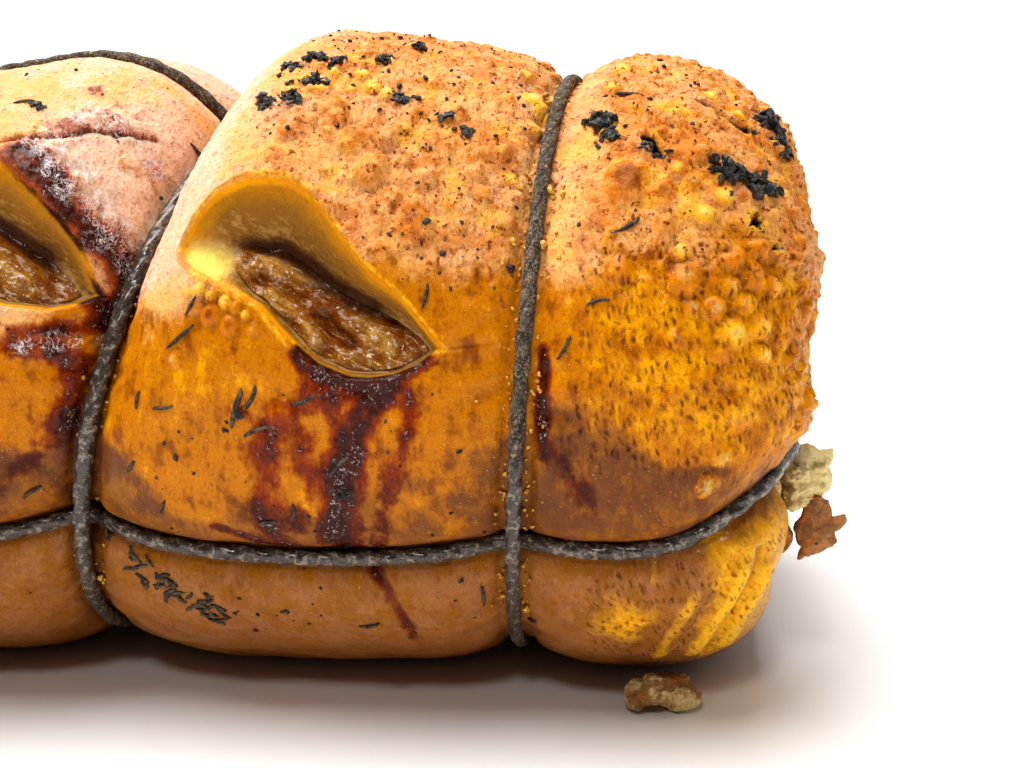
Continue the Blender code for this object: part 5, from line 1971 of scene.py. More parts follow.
RIGHT_LUMPS = (
    CrumbLump((0.156, -0.044, 0.0545), (0.0072, 0.009, 0.0056), 0.44, 130, 0.2),
    Flake(
        (0.159, -0.0462, 0.0542),
        ((-5.5, 1.5), (-3.5, 5.2), (-0.5, 6.4), (2, 5.2), (5, 5.2), (4, 1.5), (4.4, -3),
         (2.6, -5.6), (0.5, -5.2), (-2.6, -5.8), (-6, -3.5)), 0.0034, 120, 0.08,
    ),
    CrumbLump((0.155, -0.047, 0.0492), (0.0056, 0.0058, 0.004), 0.5, 90, 0.45),
    Flake(
        (0.1508, -0.0478, 0.0412),
        ((-4, 5.5), (0.5, 7.2), (2.6, 4), (1.6, 1), (4.4, -1.4), (3.6, -4.6), (1, -6.8),
         (-3, -6.4), (-5.5, 0)), 0.0036, 110, 0.75,
    ),
    Flake(
        (0.1604, -0.0466, 0.0408),
        ((-3.4, 3), (-2.4, 6.5), (0.4, 8.8), (3, 6.2), (3.6, 2.6), (6.4, 3.4), (6.6, 1.6),
         (4.2, -0.6), (4.4, -3.4), (0, -5.6), (-4.2, -7.8), (-3.2, -4), (-5.2, -0.6)),
        0.0017, 150, 0.95,
    ),
)
LEFT_LUMPS = (
    CrumbLump((-0.156, -0.047, 0.05), (0.0086, 0.0078, 0.0074), 0.34, 110),
    CrumbLump((-0.151, -0.048, 0.039), (0.0074, 0.007, 0.007), 0.38, 100),
    CrumbLump((-0.159, -0.044, 0.044), (0.0036, 0.004, 0.0034), 0.5, 60),
)
# These lumps are browner partly as painted shade, since they lie under the flap.
FALLEN_LUMPS = (
    CrumbLump((0.1255, -0.0565, 0.004), (0.0094, 0.0058, 0.0042), 0.44, 130, 0.5),
    CrumbLump((0.119, -0.059, 0.0026), (0.003, 0.0028, 0.0026), 0.5, 60, 0.6),
)


@dataclass(frozen=True)
class StuffingFinish:
    """Crumbly, dull stuffing: beige with green and brown bits and a few dark specks painted as
    holes, which are painted shade.
    """

    beige: str = "f6dea0"
    olive: str = "7d6a3a"
    brown: str = "8a5226"
    toast: str = "c07c3e"
    dark: str = "3a2c18"

    def build(self) -> Material:
        """Clouds of beige, olive and brown with dark specks."""
        g = Graph(bpy.data.materials.new("herb_stuffing"))
        wide, mid, shade = g.noise(0.009, 3.0), g.noise(0.003, 4.0, 0.65), g.value("shade")
        n = Clouds({"wide": wide, "mid": mid, "fine": g.noise(0.0009, 3.0)})
        mix = Layers(g, self, "beige")
        mix.lay((wide + n.sway(mid=0.6) + shade * 0.15).step(0.5, 0.66) * 0.8, "olive")
        toasted = Layers(g, self, "brown")
        toasted.lay(mid.step(0.42, 0.58), "toast")
        mix.lay((shade + n.sway(mid=1.2, wide=0.8)).step(0.3, 0.75) * 0.92, toasted)
        # Painted shade: dark specks that stand for holes.
        specks = 1.0 - g.cells(0.0024).step(0.12, 0.26)
        mix.lay(specks * mid.step(0.5, 0.62), "dark")
        return g.finish({
            "Base Color": mix.top, "Roughness": 0.62 + n.sway(fine=0.3),
            "Normal": g.bump(n.mean(fine=0.8, mid=0.9), 0.0014),
            "Subsurface Weight": 0.08, "Subsurface Radius": (0.002, 0.0012, 0.0006),
            "Subsurface Scale": 1.0,
        })


# ---- twine


def even(path: Array, step: float, closed: bool) -> Array:
    """Read points at even distances along a path.

    Args:
        path: Points in order.
        step: The wanted distance.
        closed: True if the last point joins the first.
    Returns:
        The new points.
    """
    loop = np.vstack([path, path[:1]]) if closed else path
    gaps = np.linalg.norm(np.diff(loop, axis=0), axis=1)
    lengths = np.concatenate([[0.0], np.cumsum(gaps)])
    marks = np.linspace(0.0, lengths[-1], max(4, round(lengths[-1] / step)) + 1)
    marks = marks[:-1] if closed else marks
    return np.stack([np.interp(marks, lengths, loop[:, k]) for k in range(3)], axis=-1)


def relax(path: Array, rounds: int, closed: bool) -> Array:
    """Draw each point half way to the middle of its neighbours, over and over.

    Args:
        path: Points in order.
        rounds: How often it is done.
        closed: True if the last point joins the first.
    Returns:
        The smoother path.
    """
    for _ in range(rounds):
        if closed:
            path = 0.5 * path + 0.25 * (np.roll(path, 1, axis=0) + np.roll(path, -1, axis=0))
        else:
            inner = 0.5 * path[1:-1] + 0.25 * (path[:-2] + path[2:])
            path = np.vstack([path[:1], inner, path[-1:]])
    return path


@dataclass
class TwinePaths:
    """Centre lines of the lengthwise loop, the top strand and the rings of the ties."""

    radius: float = 0.0019
    sunk: float = 0.62
    flat: float = 0.1549  # how far out the twine runs across an end face

    def over(self, along: Array, angle: Array) -> Array:
        """Points a little over the skin, out along its normal."""
        return FORM.place(along, angle) + FORM.normal(along, angle) * (self.radius * self.sunk)

    def straight(self, line: Line) -> Array:
        """Points along a crease between the shoulders."""
        stations = np.arange(-FORM.straight, FORM.straight, 0.001)
        return self.over(FORM.along(stations), line(stations))

    def shoulder(self, side: int, line: Line) -> Array:
        """Points from a crease's end down the shoulder to the end face."""
        along = side * np.linspace(1.02, 1.93, 24)
        return self.over(along, line(FORM.station(np.clip(along, -1.7, 1.7))))

    def crossing(self, side: int, start: Line, end: Line) -> Array:
        """From one crease down the shoulder, straight across the end face and up the other."""
        down, up = self.shoulder(side, start), self.shoulder(side, end)[::-1]
        across = down[-1] + (up[0] - down[-1]) * np.linspace(0.0, 1.0, 60)[3:-3, None]
        across[:, 0] = side * self.flat
        return np.vstack([down, across, up])

    def loop(self) -> Array:
        """The closed loop along the front seam and the back crease and across both ends."""
        path = np.vstack([
            self.straight(FRONT_CREASE), self.crossing(1, FRONT_CREASE, BACK_CREASE),
            self.straight(BACK_CREASE)[::-1], self.crossing(-1, BACK_CREASE, FRONT_CREASE),
        ])
        return relax(even(path, TWINE_STEP, True), 60, True)

    def strand(self, loop: Array) -> Array:
        """The strand along the top, down both ends to the loop's crossings.

        Args:
            loop: The lengthwise loop, which it meets on both ends.
        Returns:
            The strand's points.
        """
        halves = []
        for side in (-1, 1):
            ends = loop[loop[:, 0] * side > 0.15]
            cross = ends[np.argmin(np.abs(ends[:, 1] + 0.004))]
            down = self.shoulder(side, TOP_CREASE)
            head = np.array([side * self.flat, down[-1, 1], down[-1, 2]])
            foot = np.array([side * self.flat, cross[1], cross[2] + self.radius])
            share = np.linspace(0.1, 1.0, 30)[:, None]
            halves.append(np.vstack([down, head + (foot - head) * share]))
        path = np.vstack([halves[0][::-1], self.straight(TOP_CREASE), halves[1]])
        return relax(even(path, TWINE_STEP, False), 50, False)

    def ring(self, tie: Tie, under: Sequence[Array]) -> Array:
        """A tie's ring, which bridges the creases and rides over the long twine.

        Args:
            tie: The tie.
            under: Paths that it crosses over.
        Returns:
            The ring's points.
        """
        angles = np.arange(0.0, 360.0, 0.5)
        turn, lean = np.radians(angles), FORM.lean(tie.station)
        least = FORM.radius(tie.station, angles, False) + self.radius * self.sunk
        for path in under:
            near = path[np.abs(path[:, 0] - tie.station) < 0.03]
            theirs = np.degrees(np.arctan2(-near[:, 1], near[:, 2] - FORM.axis))
            reach = np.hypot(near[:, 1], near[:, 2] - FORM.axis)
            x_tie = tie.station + lean * np.cos(np.radians(theirs))
            hit = int(np.argmin(np.abs(near[:, 0] - x_tie)))
            gap = np.radians(turn_gap(angles, theirs[hit])) * reach[hit]
            over = reach[hit] + 1.72 * self.radius - gap**2 / (2.0 * 0.0042)
            least = np.maximum(least, np.where(np.abs(gap) < 0.006, over, 0.0))
        radius = least
        for _ in range(60):
            radius = np.maximum(relax(radius, 1, True), least)
        radius = relax(radius, 6, True)
        z = np.maximum(FORM.axis + radius * np.cos(turn), self.radius)
        ring = columns(tie.station + lean * np.cos(turn), -radius * np.sin(turn), z)
        return even(ring, TWINE_STEP, True)


@dataclass
class TwinePiece:
    """Twine along a path: three loosely twisted plies with fuzzy, caked fibres."""

    name: str
    path: Array
    closed: bool
    nodes: tuple[str, ...] = ()
    radius: float = 0.00188
    around: int = 24
    pitch: float = 0.021
    extras: tuple[Array, ...] = ()

    @staticmethod
    def frames(path: Array, closed: bool) -> tuple[Array, Array]:
        """Directions out of the roll and sideways, square to the path.

        Args:
            path: Points in order.
            closed: True if the last point joins the first.
        Returns:
            Directions out of the roll and sideways.
        """
        if closed:
            ahead = unit(np.roll(path, -1, axis=0) - np.roll(path, 1, axis=0))
        else:
            ahead = unit(np.gradient(path, axis=0))
        out = columns(0.0 * path[:, 0], path[:, 1], path[:, 2] - FORM.axis)
        end = ease(0.14, 0.155, np.abs(path[:, 0]))[:, None]
        out = unit(out) * (1.0 - end) + end * np.array([1.0, 0.0, 0.0]) * np.sign(path[:, :1])
        side = unit(np.cross(ahead, out))
        return np.cross(side, ahead), side

    def rings(self, path: Array, closed: bool) -> tuple[Array, Array]:
        """Rings round the path and how deep each point lies between the plies.

        The radius goes with 0.76 + 0.25 |cos 1.5(angle - twist)|^0.7, is pressed into an oval
        and roughened.

        Args:
            path: Points in order.
            closed: True if the last point joins the first.
        Returns:
            The rings, and the groove value of each point.
        """
        out, side = self.frames(path, closed)
        turn = np.linspace(0.0, 2.0 * math.pi, self.around, endpoint=False)[None, :]
        run = np.arange(len(path)) * TWINE_STEP
        turns = max(1, round(run[-1] / self.pitch)) if closed else run[-1] / self.pitch
        twist = (run / run[-1] * turns * 2.0 * math.pi)[:, None]
        ply = np.abs(np.cos(1.5 * (turn - twist)))
        size = self.radius * (0.76 + 0.25 * ply**0.7)
        wide, high = 1.06, 0.92
        rings = (
            path[:, None]
            + out[:, None] * (size * np.cos(turn) * high)[..., None]
            + side[:, None] * (size * np.sin(turn) * wide)[..., None]
        )
        away = unit(rings - path[:, None])
        fuzz = 0.16 * GRAIN.smooth(rings, 0.0013) + 0.13 * GRAIN.smooth(rings + 0.2, 0.004)
        rings = rings + away * (fuzz * MM)[..., None]
        rings[..., 2] = np.maximum(rings[..., 2], 0.0)
        return rings, np.concatenate([(1.0 - ply).ravel() ** 2, [] if closed else [0.0, 0.0]])

    def build(self, material: Material) -> Item:
        """Make the twine with its knots and tails as one piece."""
        paths = [(self.path, self.closed), *((extra, False) for extra in self.extras)]
        rings, grooves = zip(*(self.rings(path, closed) for path, closed in paths))
        points, quads, tris = join_tubes([(r, closed) for r, (_, closed) in zip(rings, paths)])
        item = lay_mesh(self.name, points, quads, tris)
        paint_values(item, {"wet": self.wetness(points), "groove": np.concatenate(grooves)})
        return install(item, material, self.nodes)

    @staticmethod
    def wetness(points: Array) -> Array:
        """How greasy the twine is: most where the glaze runs and low on the front."""
        angle = np.degrees(np.arctan2(-points[:, 1], points[:, 2] - FORM.axis))
        front = ease(78.0, 104.0, angle) * ease(150.0, 118.0, angle) * 0.8
        glazed = np.exp(-(((points[:, 0] - 0.006) / 0.022) ** 2)) * ease(25.0, 60.0, angle)
        return np.clip(np.maximum(front, glazed), 0.0, 1.0)


def knot_path(centre: Array, out: Array, ahead: Array, size: float) -> Array:
    """A trefoil knot: (sin t + 2 sin 2t, cos t - 2 cos 2t, -sin 3t), scaled and laid flat.

    Args:
        centre: Where it lies.
        out: Direction away from the skin.
        ahead: Direction of the twine.
        size: Half its width in metres.
    Returns:
        Points along it.
    """
    t = np.linspace(0.0, 2.0 * math.pi, 90)
    flat = columns(np.sin(t) + 2 * np.sin(2 * t), np.cos(t) - 2 * np.cos(2 * t), -np.sin(3 * t))
    side = unit(np.cross(ahead, out))
    axes = np.stack([unit(ahead), side, unit(out)]) * (size / 3.0)
    axes[2] *= 1.25
    return even(centre + flat @ axes, TWINE_STEP, False)


@dataclass(frozen=True)
class TwineFinish:
    """Roasted twine: charcoal brown, dusty and dull, shining where grease has soaked it."""

    char: str = "383029"
    bark: str = "746454"
    ash: str = "a89a86"
    dust: str = "dcb87c"
    grease: str = "301f18"

    def build(self) -> Material:
        """Fine fibres over clouds, painted shade in the grooves between the plies, and gloss from
        the wetness stored on the mesh.
        """
        g = Graph(bpy.data.materials.new("roasted_twine"))
        n = Clouds({
            "wide": g.noise(0.01, 3.0), "mid": g.noise(0.0026, 4.0, 0.65),
            "fibre": g.noise(0.0005, 3.0, 0.6),
        })
        twine = Layers(g, self, "char")
        twine.lay(n.mean(mid=0.5, fibre=0.5).step(0.4, 0.58), "bark")
        twine.lay(n.mean(fibre=0.7, wide=0.3).step(0.5, 0.62) * 0.7, "ash")
        twine.lay(g.noise(0.0011, 3.0).step(0.63, 0.71) * 0.8, "dust")
        # Painted shade: charcoal in the grooves between the plies.
        twine.lay(g.value("groove").step(0.2, 1.0) * 0.75, "char")
        soaked = (g.value("wet") + n.sway(mid=0.9, fibre=0.5)).step(0.3, 0.8)
        twine.lay(soaked * 0.7, "grease")
        twine.lay(g.noise(0.0016, 4.0, 0.65).step(0.52, 0.62) * soaked * 0.8, "ash")
        return g.finish({
            "Base Color": twine.top, "Roughness": 0.8 - soaked * 0.5,
            "Normal": g.bump(n.mean(fibre=0.8, mid=0.6), 0.0011), "Specular IOR Level": 0.35,
            "Coat Weight": soaked * 0.9, "Coat Roughness": 0.16,
        })


# ---- scattered bits


def on_relief(s: Array, a: Array, lift: Array | float) -> tuple[Array, ...]:
    """Points on the finished skin with the directions along the roll, down it and out of it.

    Args:
        s: Stations in metres.
        a: Angles in degrees.
        lift: Height over the finished skin, in metres.
    Returns:
        Points, and the three directions at each.
    """
    along = FORM.along(s)
    at, out = FORM.place(along, a), FORM.normal(along, a)
    marks = SKIN_MAP.finishes(s, a, at)
    rise = SKIN_MAP.relief(s, a, at, marks)["lift"]
    for slit in SLITS:
        rise = rise + slit.hood_rise(s, a)
    ahead = unit(FORM.place(along + 0.01, a) - FORM.place(along - 0.01, a))
    ahead = unit(ahead - out * (ahead * out).sum(-1, keepdims=True))
    return at + out * (rise + lift)[:, None], ahead, np.cross(out, ahead), out


@dataclass
class Scatter:
    """Many small copies of one closed form on the skin, as one piece."""

    name: str
    places: Array
    long: Array
    wide: Array
    high: Array
    turn: Array
    sink: float = 0.25
    around: int = 7
    rows: int = 5
    rough: float = 0.35
    taper: float = 1.0
    bend: float = 0.0
    curl: float = 0.0
    faceted: bool = False

    def build(self, material: Material) -> Item:
        """Rings from pole to pole of an oval body, roughened and laid down at each place.

        Args:
            material: Its finish.
        Returns:
            The piece.
        """
        s, a = self.places[:, 0], self.places[:, 1]
        at, ahead, down, out = on_relief(s, a, self.high * (1.0 - 2.0 * self.sink))
        lat = np.linspace(-math.pi / 2, math.pi / 2, self.rows + 2)[1:-1]
        lon = np.linspace(0.0, 2.0 * math.pi, self.around, endpoint=False)
        x = np.repeat(np.sin(lat), self.around)
        r = np.repeat(np.cos(lat) ** self.taper, self.around)
        ring = np.tile(lon, self.rows)
        unit_points = columns(x, r * np.cos(ring), r * np.sin(ring))
        unit_points = np.vstack([unit_points, [[-1.0, 0, 0], [1.0, 0, 0]]])
        count, size = len(s), len(unit_points)
        body = np.broadcast_to(unit_points, (count, size, 3)).copy()
        seeds = np.arange(count)[:, None, None] * np.array([3.17, 1.7, 2.3])
        swell = 1.0 + self.rough * GRAIN.smooth(body + seeds, 0.9)
        body = body * swell[..., None]
        body[..., 2] += self.bend * (body[..., 0] ** 2 - 0.4)
        curl = self.curl * np.sin(np.arange(count) * 2.4)[:, None]
        body[..., 1] += curl * (body[..., 0] ** 2 - 0.4)
        body = body * columns(self.long, self.wide, self.high)[:, None, :]
        cos, sin = np.cos(np.radians(self.turn))[:, None], np.sin(np.radians(self.turn))[:, None]
        heading, across = ahead * cos + down * sin, down * cos - ahead * sin
        axes = np.stack([heading, across, out], axis=1)
        points = at[:, None, :] + np.einsum("nkc,ncd->nkd", body, axes)
        index = np.arange(self.rows * self.around).reshape(self.rows, self.around)
        starts = (np.arange(count) * size)[:, None, None]
        quads, tris = (faces + starts for faces in tube_faces(index, size - 2, size - 1))
        points = points.reshape(-1, 3)
        points[:, 2] = np.maximum(points[:, 2], 0.0002)
        item = lay_mesh(self.name, points, quads.reshape(-1, 4), tris.reshape(-1, 3))
        if self.faceted:
            item.data.shade_flat()
        return install(item, material)


@dataclass(frozen=True)
class SmallFinish:
    """A plain small finish: two tones, their roughness and a fine grain."""

    name: str
    dark: str
    light: str
    rough: float
    size: float = 0.0012

    def build(self) -> Material:
        """Two tones in clouds, with bumps of the same grain."""
        g = Graph(bpy.data.materials.new(self.name))
        mid, fine = g.noise(self.size * 2.0, 4.0, 0.6), g.noise(self.size * 0.5, 2.0)
        n = Clouds({"mid": mid, "fine": fine})
        tones = Layers(g, self, "dark")
        tones.lay((mid + n.sway(fine=0.4)).step(0.42, 0.62), "light")
        return g.finish({
            "Base Color": tones.top, "Roughness": self.rough + n.sway(fine=0.3),
            "Normal": g.bump(n.mean(mid=0.6, fine=0.5), self.size * 0.6),
        })


@dataclass
class Toppings:
    """Herb needles, charred crumbs, soot specks and golden crumbs on the skin."""

    needles: tuple[tuple[float, float, float, float], ...] = (
        (0.022, 76, 8.5, 35), (0.075, 71, 5, 80), (0.111, 72, 4.5, 10), (0.105, 78, 5, 60),
        (-0.004, 31, 5.5, 0), (0.037, 86, 8.5, 70), (0.051, 85, 7, 20), (0.06, 94, 6, 45),
        (0.02, 86, 5, 5), (0.014, 95, 4, 50), (0.022, 118, 5, 40), (-0.04, 78, 8, 25),
        (-0.118, 72, 8, 70), (-0.06, 35, 6, 15), (0.04, 84.5, 6, 60), (0.042, 89, 6.5, 20),
        (0.116, 62, 6, 30), (0.022, 101, 4, 60), (0.045, 103, 4.5, 10), (0.051, 101, 4, 80),
        (0.113, 36, 9, -12), (0.024, 72, 4, 60), (0.09, 119, 7, 88), (-0.01, 100, 5, 30),
        (0.066, 124, 5, 20), (0.013, 85, 4, 80), (-0.02, 98, 4, 0), (0.1, 128, 5, 40),
    )
    band: Points = ((8, 111), (13, 112), (18, 117), (24, 118), (30, 121), (34, 124))

    def __post_init__(self) -> None:
        """Start the one source of random draws."""
        self.rng = np.random.default_rng(SEED)

    def draw(self, count: int, *ranges: tuple[float, float]) -> Array:
        """Rows of random numbers, each drawn evenly from its own range."""
        return columns(*(self.rng.uniform(low, high, count) for low, high in ranges))

    def herb_needles(self) -> Scatter:
        """The needles that show, a crowd of them in the low band and a few on the other sides."""
        rng = self.rng
        listed = np.array(self.needles, float)
        share = rng.uniform(0.0, len(self.band) - 1.001, 46)
        xs, ys = (np.array([p[k] for p in self.band], float) for k in (0, 1))
        s = np.interp(share, np.arange(len(xs)), xs) * MM + rng.normal(0.0, 0.0022, 46)
        a = np.interp(share, np.arange(len(ys)), ys) + rng.normal(0.0, 1.6, 46)
        crowd = columns(s, a, rng.uniform(2.2, 4.6, 46), rng.uniform(-70.0, 70.0, 46))
        far = self.draw(46, (-0.12, 0.12), (190.0, 350.0), (3.0, 8.0), (-90.0, 90.0))
        left = self.draw(16, (-0.125, -0.03), (15.0, 112.0), (3.0, 8.0), (-90.0, 90.0))
        every = np.vstack([listed, crowd, far, left])
        every = every[SKIN_MAP.near_tie(every[:, 0]) > 0.003]
        wide, high = MM * self.draw(len(every), (0.34, 0.56), (0.26, 0.42)).T
        return Scatter(
            "herb_needles", every[:, :2], every[:, 2] * 0.5 * MM, wide, high, every[:, 3],
            sink=0.16, around=7, rows=9, rough=0.34, taper=0.5, bend=-0.7, curl=1.0,
        )

    def char_crumbs(self) -> Scatter:
        """Clusters of charred crumbs round each burnt place."""
        rng = self.rng
        rows = []
        for s0, a0, size in SKIN_MAP.char:
            count = int(3 + size * size * 1.5)
            spread = size * 0.46 * MM
            s = s0 * MM + rng.normal(0.0, spread, count)
            a = a0 + np.degrees(rng.normal(0.0, spread * 0.75, count) / FORM.half_width)
            crumb = rng.uniform(0.55, 1.15, count) * (0.35 + 0.21 * size)
            rows.append(columns(s, a, crumb, np.full(count, 0.5 + 0.3 * size)))
        every = np.vstack(rows)
        every = every[SKIN_MAP.near_tie(every[:, 0]) > 0.0035]
        count = len(every)
        size = every[:, 2] * MM
        return Scatter(
            "charred_crumbs", every[:, :2], size * 1.25, size * rng.uniform(0.4, 0.85, count),
            size * rng.uniform(0.25, 0.6, count) * every[:, 3], rng.uniform(0.0, 180.0, count),
            around=8, rows=6, rough=0.8, faceted=True,
        )

    def specks(self) -> Scatter:
        """Tiny black specks, thick over the middle bulge's crown and thin elsewhere."""
        rng = self.rng
        blocks = []
        for count, s_low, s_high, a_low, a_high in (
            (170, 0.026, 0.09, 12, 50), (70, 0.104, 0.15, 15, 66), (50, -0.08, -0.01, 15, 60),
            (70, 0.02, 0.092, 84, 128), (40, -0.12, 0, 70, 125), (180, -0.125, 0.125, 200, 352),
            (60, -0.125, 0.02, -10, 60), (50, 0.06, 0.092, 48, 72),
        ):
            blocks.append(self.draw(count, (s_low, s_high), (a_low, a_high)))
        every = np.vstack(blocks)
        s, a = every.T
        keep = SKIN_MAP.near_tie(s) > 0.003
        for slit in SLITS:
            inside = (s > slit.left) & (s < slit.right)
            keep &= ~(inside & (a > slit.rim(s) - 1.0) & (a < slit.lip(s) + 1.0))
        every = every[keep]
        count = len(every)
        size = rng.gamma(2.4, 0.105, count) * MM + 0.0001
        return Scatter(
            "soot_specks", every, size, size * rng.uniform(0.5, 1.0, count), size * 0.6,
            rng.uniform(0.0, 180.0, count), sink=0.2, around=6, rows=3, rough=0.7,
        )

    def golden(self) -> Scatter:
        """Golden crumbs of crackling that lie along both sides of the ties."""
        rng = self.rng
        rows = []
        for tie, count in ((TIES["tie_c"], 230), (TIES["tie_b"], 90), (TIES["tie_a"], 90)):
            side = np.sign(rng.normal(size=count))
            s = tie.station + side * (0.0019 + rng.exponential(0.0011, count))
            a = rng.uniform(5.0, 125.0, count)
            rows.append(columns(s, a))
        every = np.vstack(rows)
        count = len(every)
        size = rng.gamma(3.0, 0.1, count) * MM + 0.0001
        return Scatter(
            "golden_crumbs", every, size, size * rng.uniform(0.6, 1.0, count), size * 0.8,
            rng.uniform(0.0, 180.0, count), sink=0.1, around=6, rows=3, rough=0.6,
        )


# ---- studio


@dataclass
class Studio:
    """Pale floor, soft light and the camera."""

    camera_at: Triple = (0.126, -0.307, 0.123)
    yaw: float = -7.8
    pitch: float = -10.3
    roll: float = -1.7
    lens: float = 40.04
    front_glow: float = 0.05
    back_glow: float = 0.55

    def camera(self) -> None:
        """A camera by its bearing, tilt and roll."""
        yaw, pitch, roll = (math.radians(v) for v in (self.yaw, self.pitch, self.roll))
        ahead = np.array(
            [math.sin(yaw) * math.cos(pitch), math.cos(yaw) * math.cos(pitch), math.sin(pitch)]
        )
        right = np.array([math.cos(yaw), -math.sin(yaw), 0.0])
        up = np.cross(right, ahead)
        right, up = (
            math.cos(roll) * right + math.sin(roll) * up,
            math.cos(roll) * up - math.sin(roll) * right,
        )
        data = bpy.data.cameras.new("camera")
        data.sensor_width, data.lens = 36.0, self.lens
        data.clip_start, data.clip_end = 0.01, 50.0
        item = bpy.data.objects.new("camera", data)
        turned = Matrix([[*row] for row in columns(right, up, -ahead)]).to_4x4()
        item.matrix_world = Matrix.Translation(self.camera_at) @ turned
        bpy.context.scene.collection.objects.link(item)
        bpy.context.scene.camera = item

    def floor(self) -> None:
        """A wide pale sheet with a faint grain."""
        t = np.linspace(-4.0, 4.0, 9)
        x, y = np.meshgrid(t, t, indexing="ij")
        points = columns(x, y, 0.0 * x - 0.0002).reshape(-1, 3)
        index = np.arange(81).reshape(9, 9)
        quads = columns(index[:-1, :-1], index[1:, :-1], index[1:, 1:], index[:-1, 1:])
        mesh = bpy.data.meshes.new("floor")
        mesh.from_pydata(points.tolist(), [], quads.reshape(-1, 4).tolist())
        item = bpy.data.objects.new("floor", mesh)
        bpy.context.scene.collection.objects.link(item)
        g = Graph(bpy.data.materials.new("pale_floor"))
        colour = g.blend(g.noise(0.05, 3.0), paint("f6f5f4"), paint("f2f1f0"))
        mesh.materials.append(g.finish({"Base Color": colour, "Roughness": 0.7}))

    def lamp(self, name: str, kind: str, at: Array, settings: dict[str, float]) -> None:
        """Add a lamp that looks at the middle of the roll.

        Args:
            name: The lamp's name.
            kind: Blender's kind of lamp.
            at: Where it stands.
            settings: Its own settings.
        """
        data = bpy.data.lights.new(name, kind)
        for key, value in settings.items():
            setattr(data, key, value)
        item = bpy.data.objects.new(name, data)
        back = unit(np.array(at) - np.array([0.0, 0.0, FORM.axis]))
        side = unit(np.cross(np.array([1e-4, 0.0, 1.0]), back))
        rows = columns(side, np.cross(back, side), back)
        item.matrix_world = Matrix.Translation(at) @ Matrix([[*r] for r in rows]).to_4x4()
        bpy.context.scene.collection.objects.link(item)

    def light(self) -> None:
        """A wide soft light from above and behind, a small one in front and a bright surround."""
        self.lamp("ceiling", "SUN", (-0.26, 0.04, 1.0), {"energy": 4.6, "angle": math.radians(55)})
        self.lamp("front", "AREA", (0.05, -0.95, 1.05), {"energy": 2.6, "size": 0.16})
        g = Graph(bpy.data.worlds.new("surround"))
        bpy.context.scene.world = g.owner
        split = g.node("SeparateXYZ", {0: g.coords["Generated"]})
        glow = g.node("MapRange", {
            "Value": split.outputs["Y"], "From Min": -0.55, "From Max": 0.65,
            "To Min": self.front_glow, "To Max": self.back_glow,
        })
        white = {"Color": (1.0, 1.0, 1.0, 1.0)}
        soft = g.node("Background", white | {"Strength": glow.outputs[0]}).outputs[0]
        bright = g.node("Background", white).outputs[0]
        seen = g.node("LightPath").outputs["Is Camera Ray"]
        mix = g.node("MixShader", {0: seen, 1: soft, 2: bright})
        g.node("OutputWorld", {0: mix.outputs[0]})

    def build(self) -> None:
        """Set the whole studio up."""
        self.camera()
        self.floor()
        self.light()
        bpy.context.scene.view_settings.view_transform = "Standard"
        bpy.context.scene.view_settings.look = "Medium High Contrast"


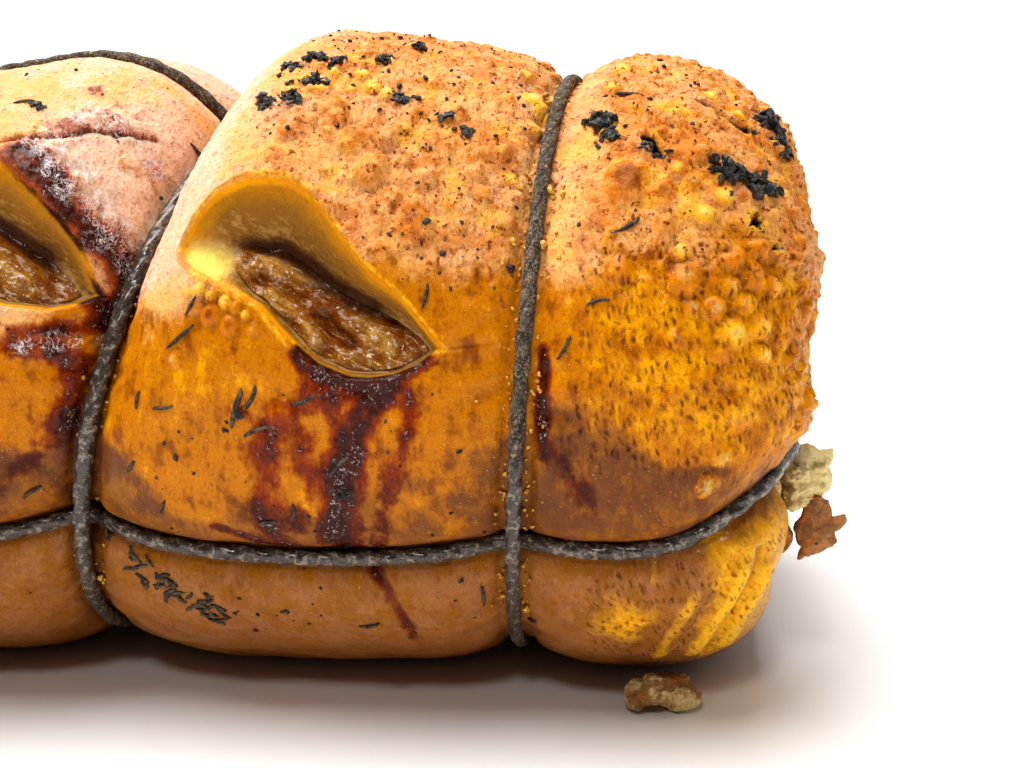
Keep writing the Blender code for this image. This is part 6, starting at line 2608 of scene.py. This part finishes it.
@dataclass
class Porchetta:
    """The whole part, built piece by piece."""

    def skin(self) -> None:
        """The four bulges of the roll."""
        material = SkinFinish().build()
        a, b, c = (float(FORM.along(t.station)) for t in TIES.values())
        for section in (
            SkinSection("roll_left_end", -FACE_MIDDLE, a),
            SkinSection("roll_left_middle", a, b, SLIT_A),
            SkinSection("roll_right_middle", b, c, SLIT_B),
            SkinSection("roll_right_end", c, FACE_MIDDLE),
        ):
            section.build(material)

    def stuffing(self) -> None:
        """The spiral and the lumps at its ends."""
        material = StuffingFinish().build()
        SpiralBand().build(material)
        LumpGroup("stuffing_lumps_right", RIGHT_LUMPS, ("stuffing",)).build(material)
        LumpGroup("stuffing_lumps_left", LEFT_LUMPS, ("stuffing",)).build(material)
        LumpGroup("fallen_stuffing_lump", FALLEN_LUMPS, ("fallen_stuffing",)).build(material)

    def twine(self) -> None:
        """The loop, the strand and the three rings with their knots."""
        material = TwineFinish().build()
        paths = TwinePaths()
        loop = paths.loop()
        strand = paths.strand(loop)
        x = np.array([1.0, 0.0, 0.0])
        up = np.array([0.0, 0.0, 1.0])
        knots = [knot_path(end, x * np.sign(end[0]), up, 0.0042) for end in strand[[0, -1]]]
        TwinePiece("twine_loop", loop, True, ("long_loop",)).build(material)
        TwinePiece("twine_top", strand, False, ("top_strand",), extras=tuple(knots)).build(material)
        for name, tie in TIES.items():
            ring = paths.ring(tie, (loop, strand))
            radius = 0.00158 if name == "tie_c" else 0.00188
            TwinePiece(
                f"twine_{name}", ring, True, (name,), radius, extras=self.tie_knot(ring)
            ).build(material)

    def tie_knot(self, ring: Array) -> tuple[Array, ...]:
        """A knot on the back of a ring with two short tails that lie on the skin.

        Args:
            ring: The ring's points.
        Returns:
            Paths of the knot and its two tails.
        """
        back = np.where(ring[:, 1] > 0.0, np.abs(ring[:, 2] - 0.118), 1.0)
        i = int(np.argmin(back))
        at = ring[i]
        out = unit(np.array([0.0, at[1], at[2] - FORM.axis]))
        ahead = unit(ring[(i + 3) % len(ring)] - ring[i - 3])
        side = np.cross(ahead, out)
        parts = [knot_path(at + out * 0.0008, out, ahead, 0.004)]
        for way in (-1.0, 1.0):
            t = np.linspace(0.0, 1.0, 30)[:, None]
            tail = at + side * (way * 0.013 * t) + ahead * (way * 0.008 * t * t)
            tail = tail + out * (0.0012 + 0.0045 * np.sin(1.9 * t))
            parts.append(even(tail, TWINE_STEP, False))
        return tuple(parts)

    def toppings(self) -> None:
        """Everything small that lies on the skin."""
        bits = Toppings()
        herb = SmallFinish("dried_herb", "17110b", "66543c", 0.5, 0.0007).build()
        soot = SmallFinish("charred_crumb", "080706", "4a3f36", 0.46, 0.0008).build()
        gold = SmallFinish("golden_crumb", "b8781c", "f3c25a", 0.35).build()
        bits.herb_needles().build(herb)
        bits.char_crumbs().build(soot)
        bits.specks().build(soot)
        bits.golden().build(gold)


def main() -> None:
    """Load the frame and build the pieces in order."""
    logging.basicConfig(level=logging.INFO, format="%(name)s: %(message)s")
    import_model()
    Studio().build()
    part = Porchetta()
    part.skin()
    part.stuffing()
    part.twine()
    part.toppings()
    bpy.context.view_layer.update()


if __name__ == "__main__":
    main()
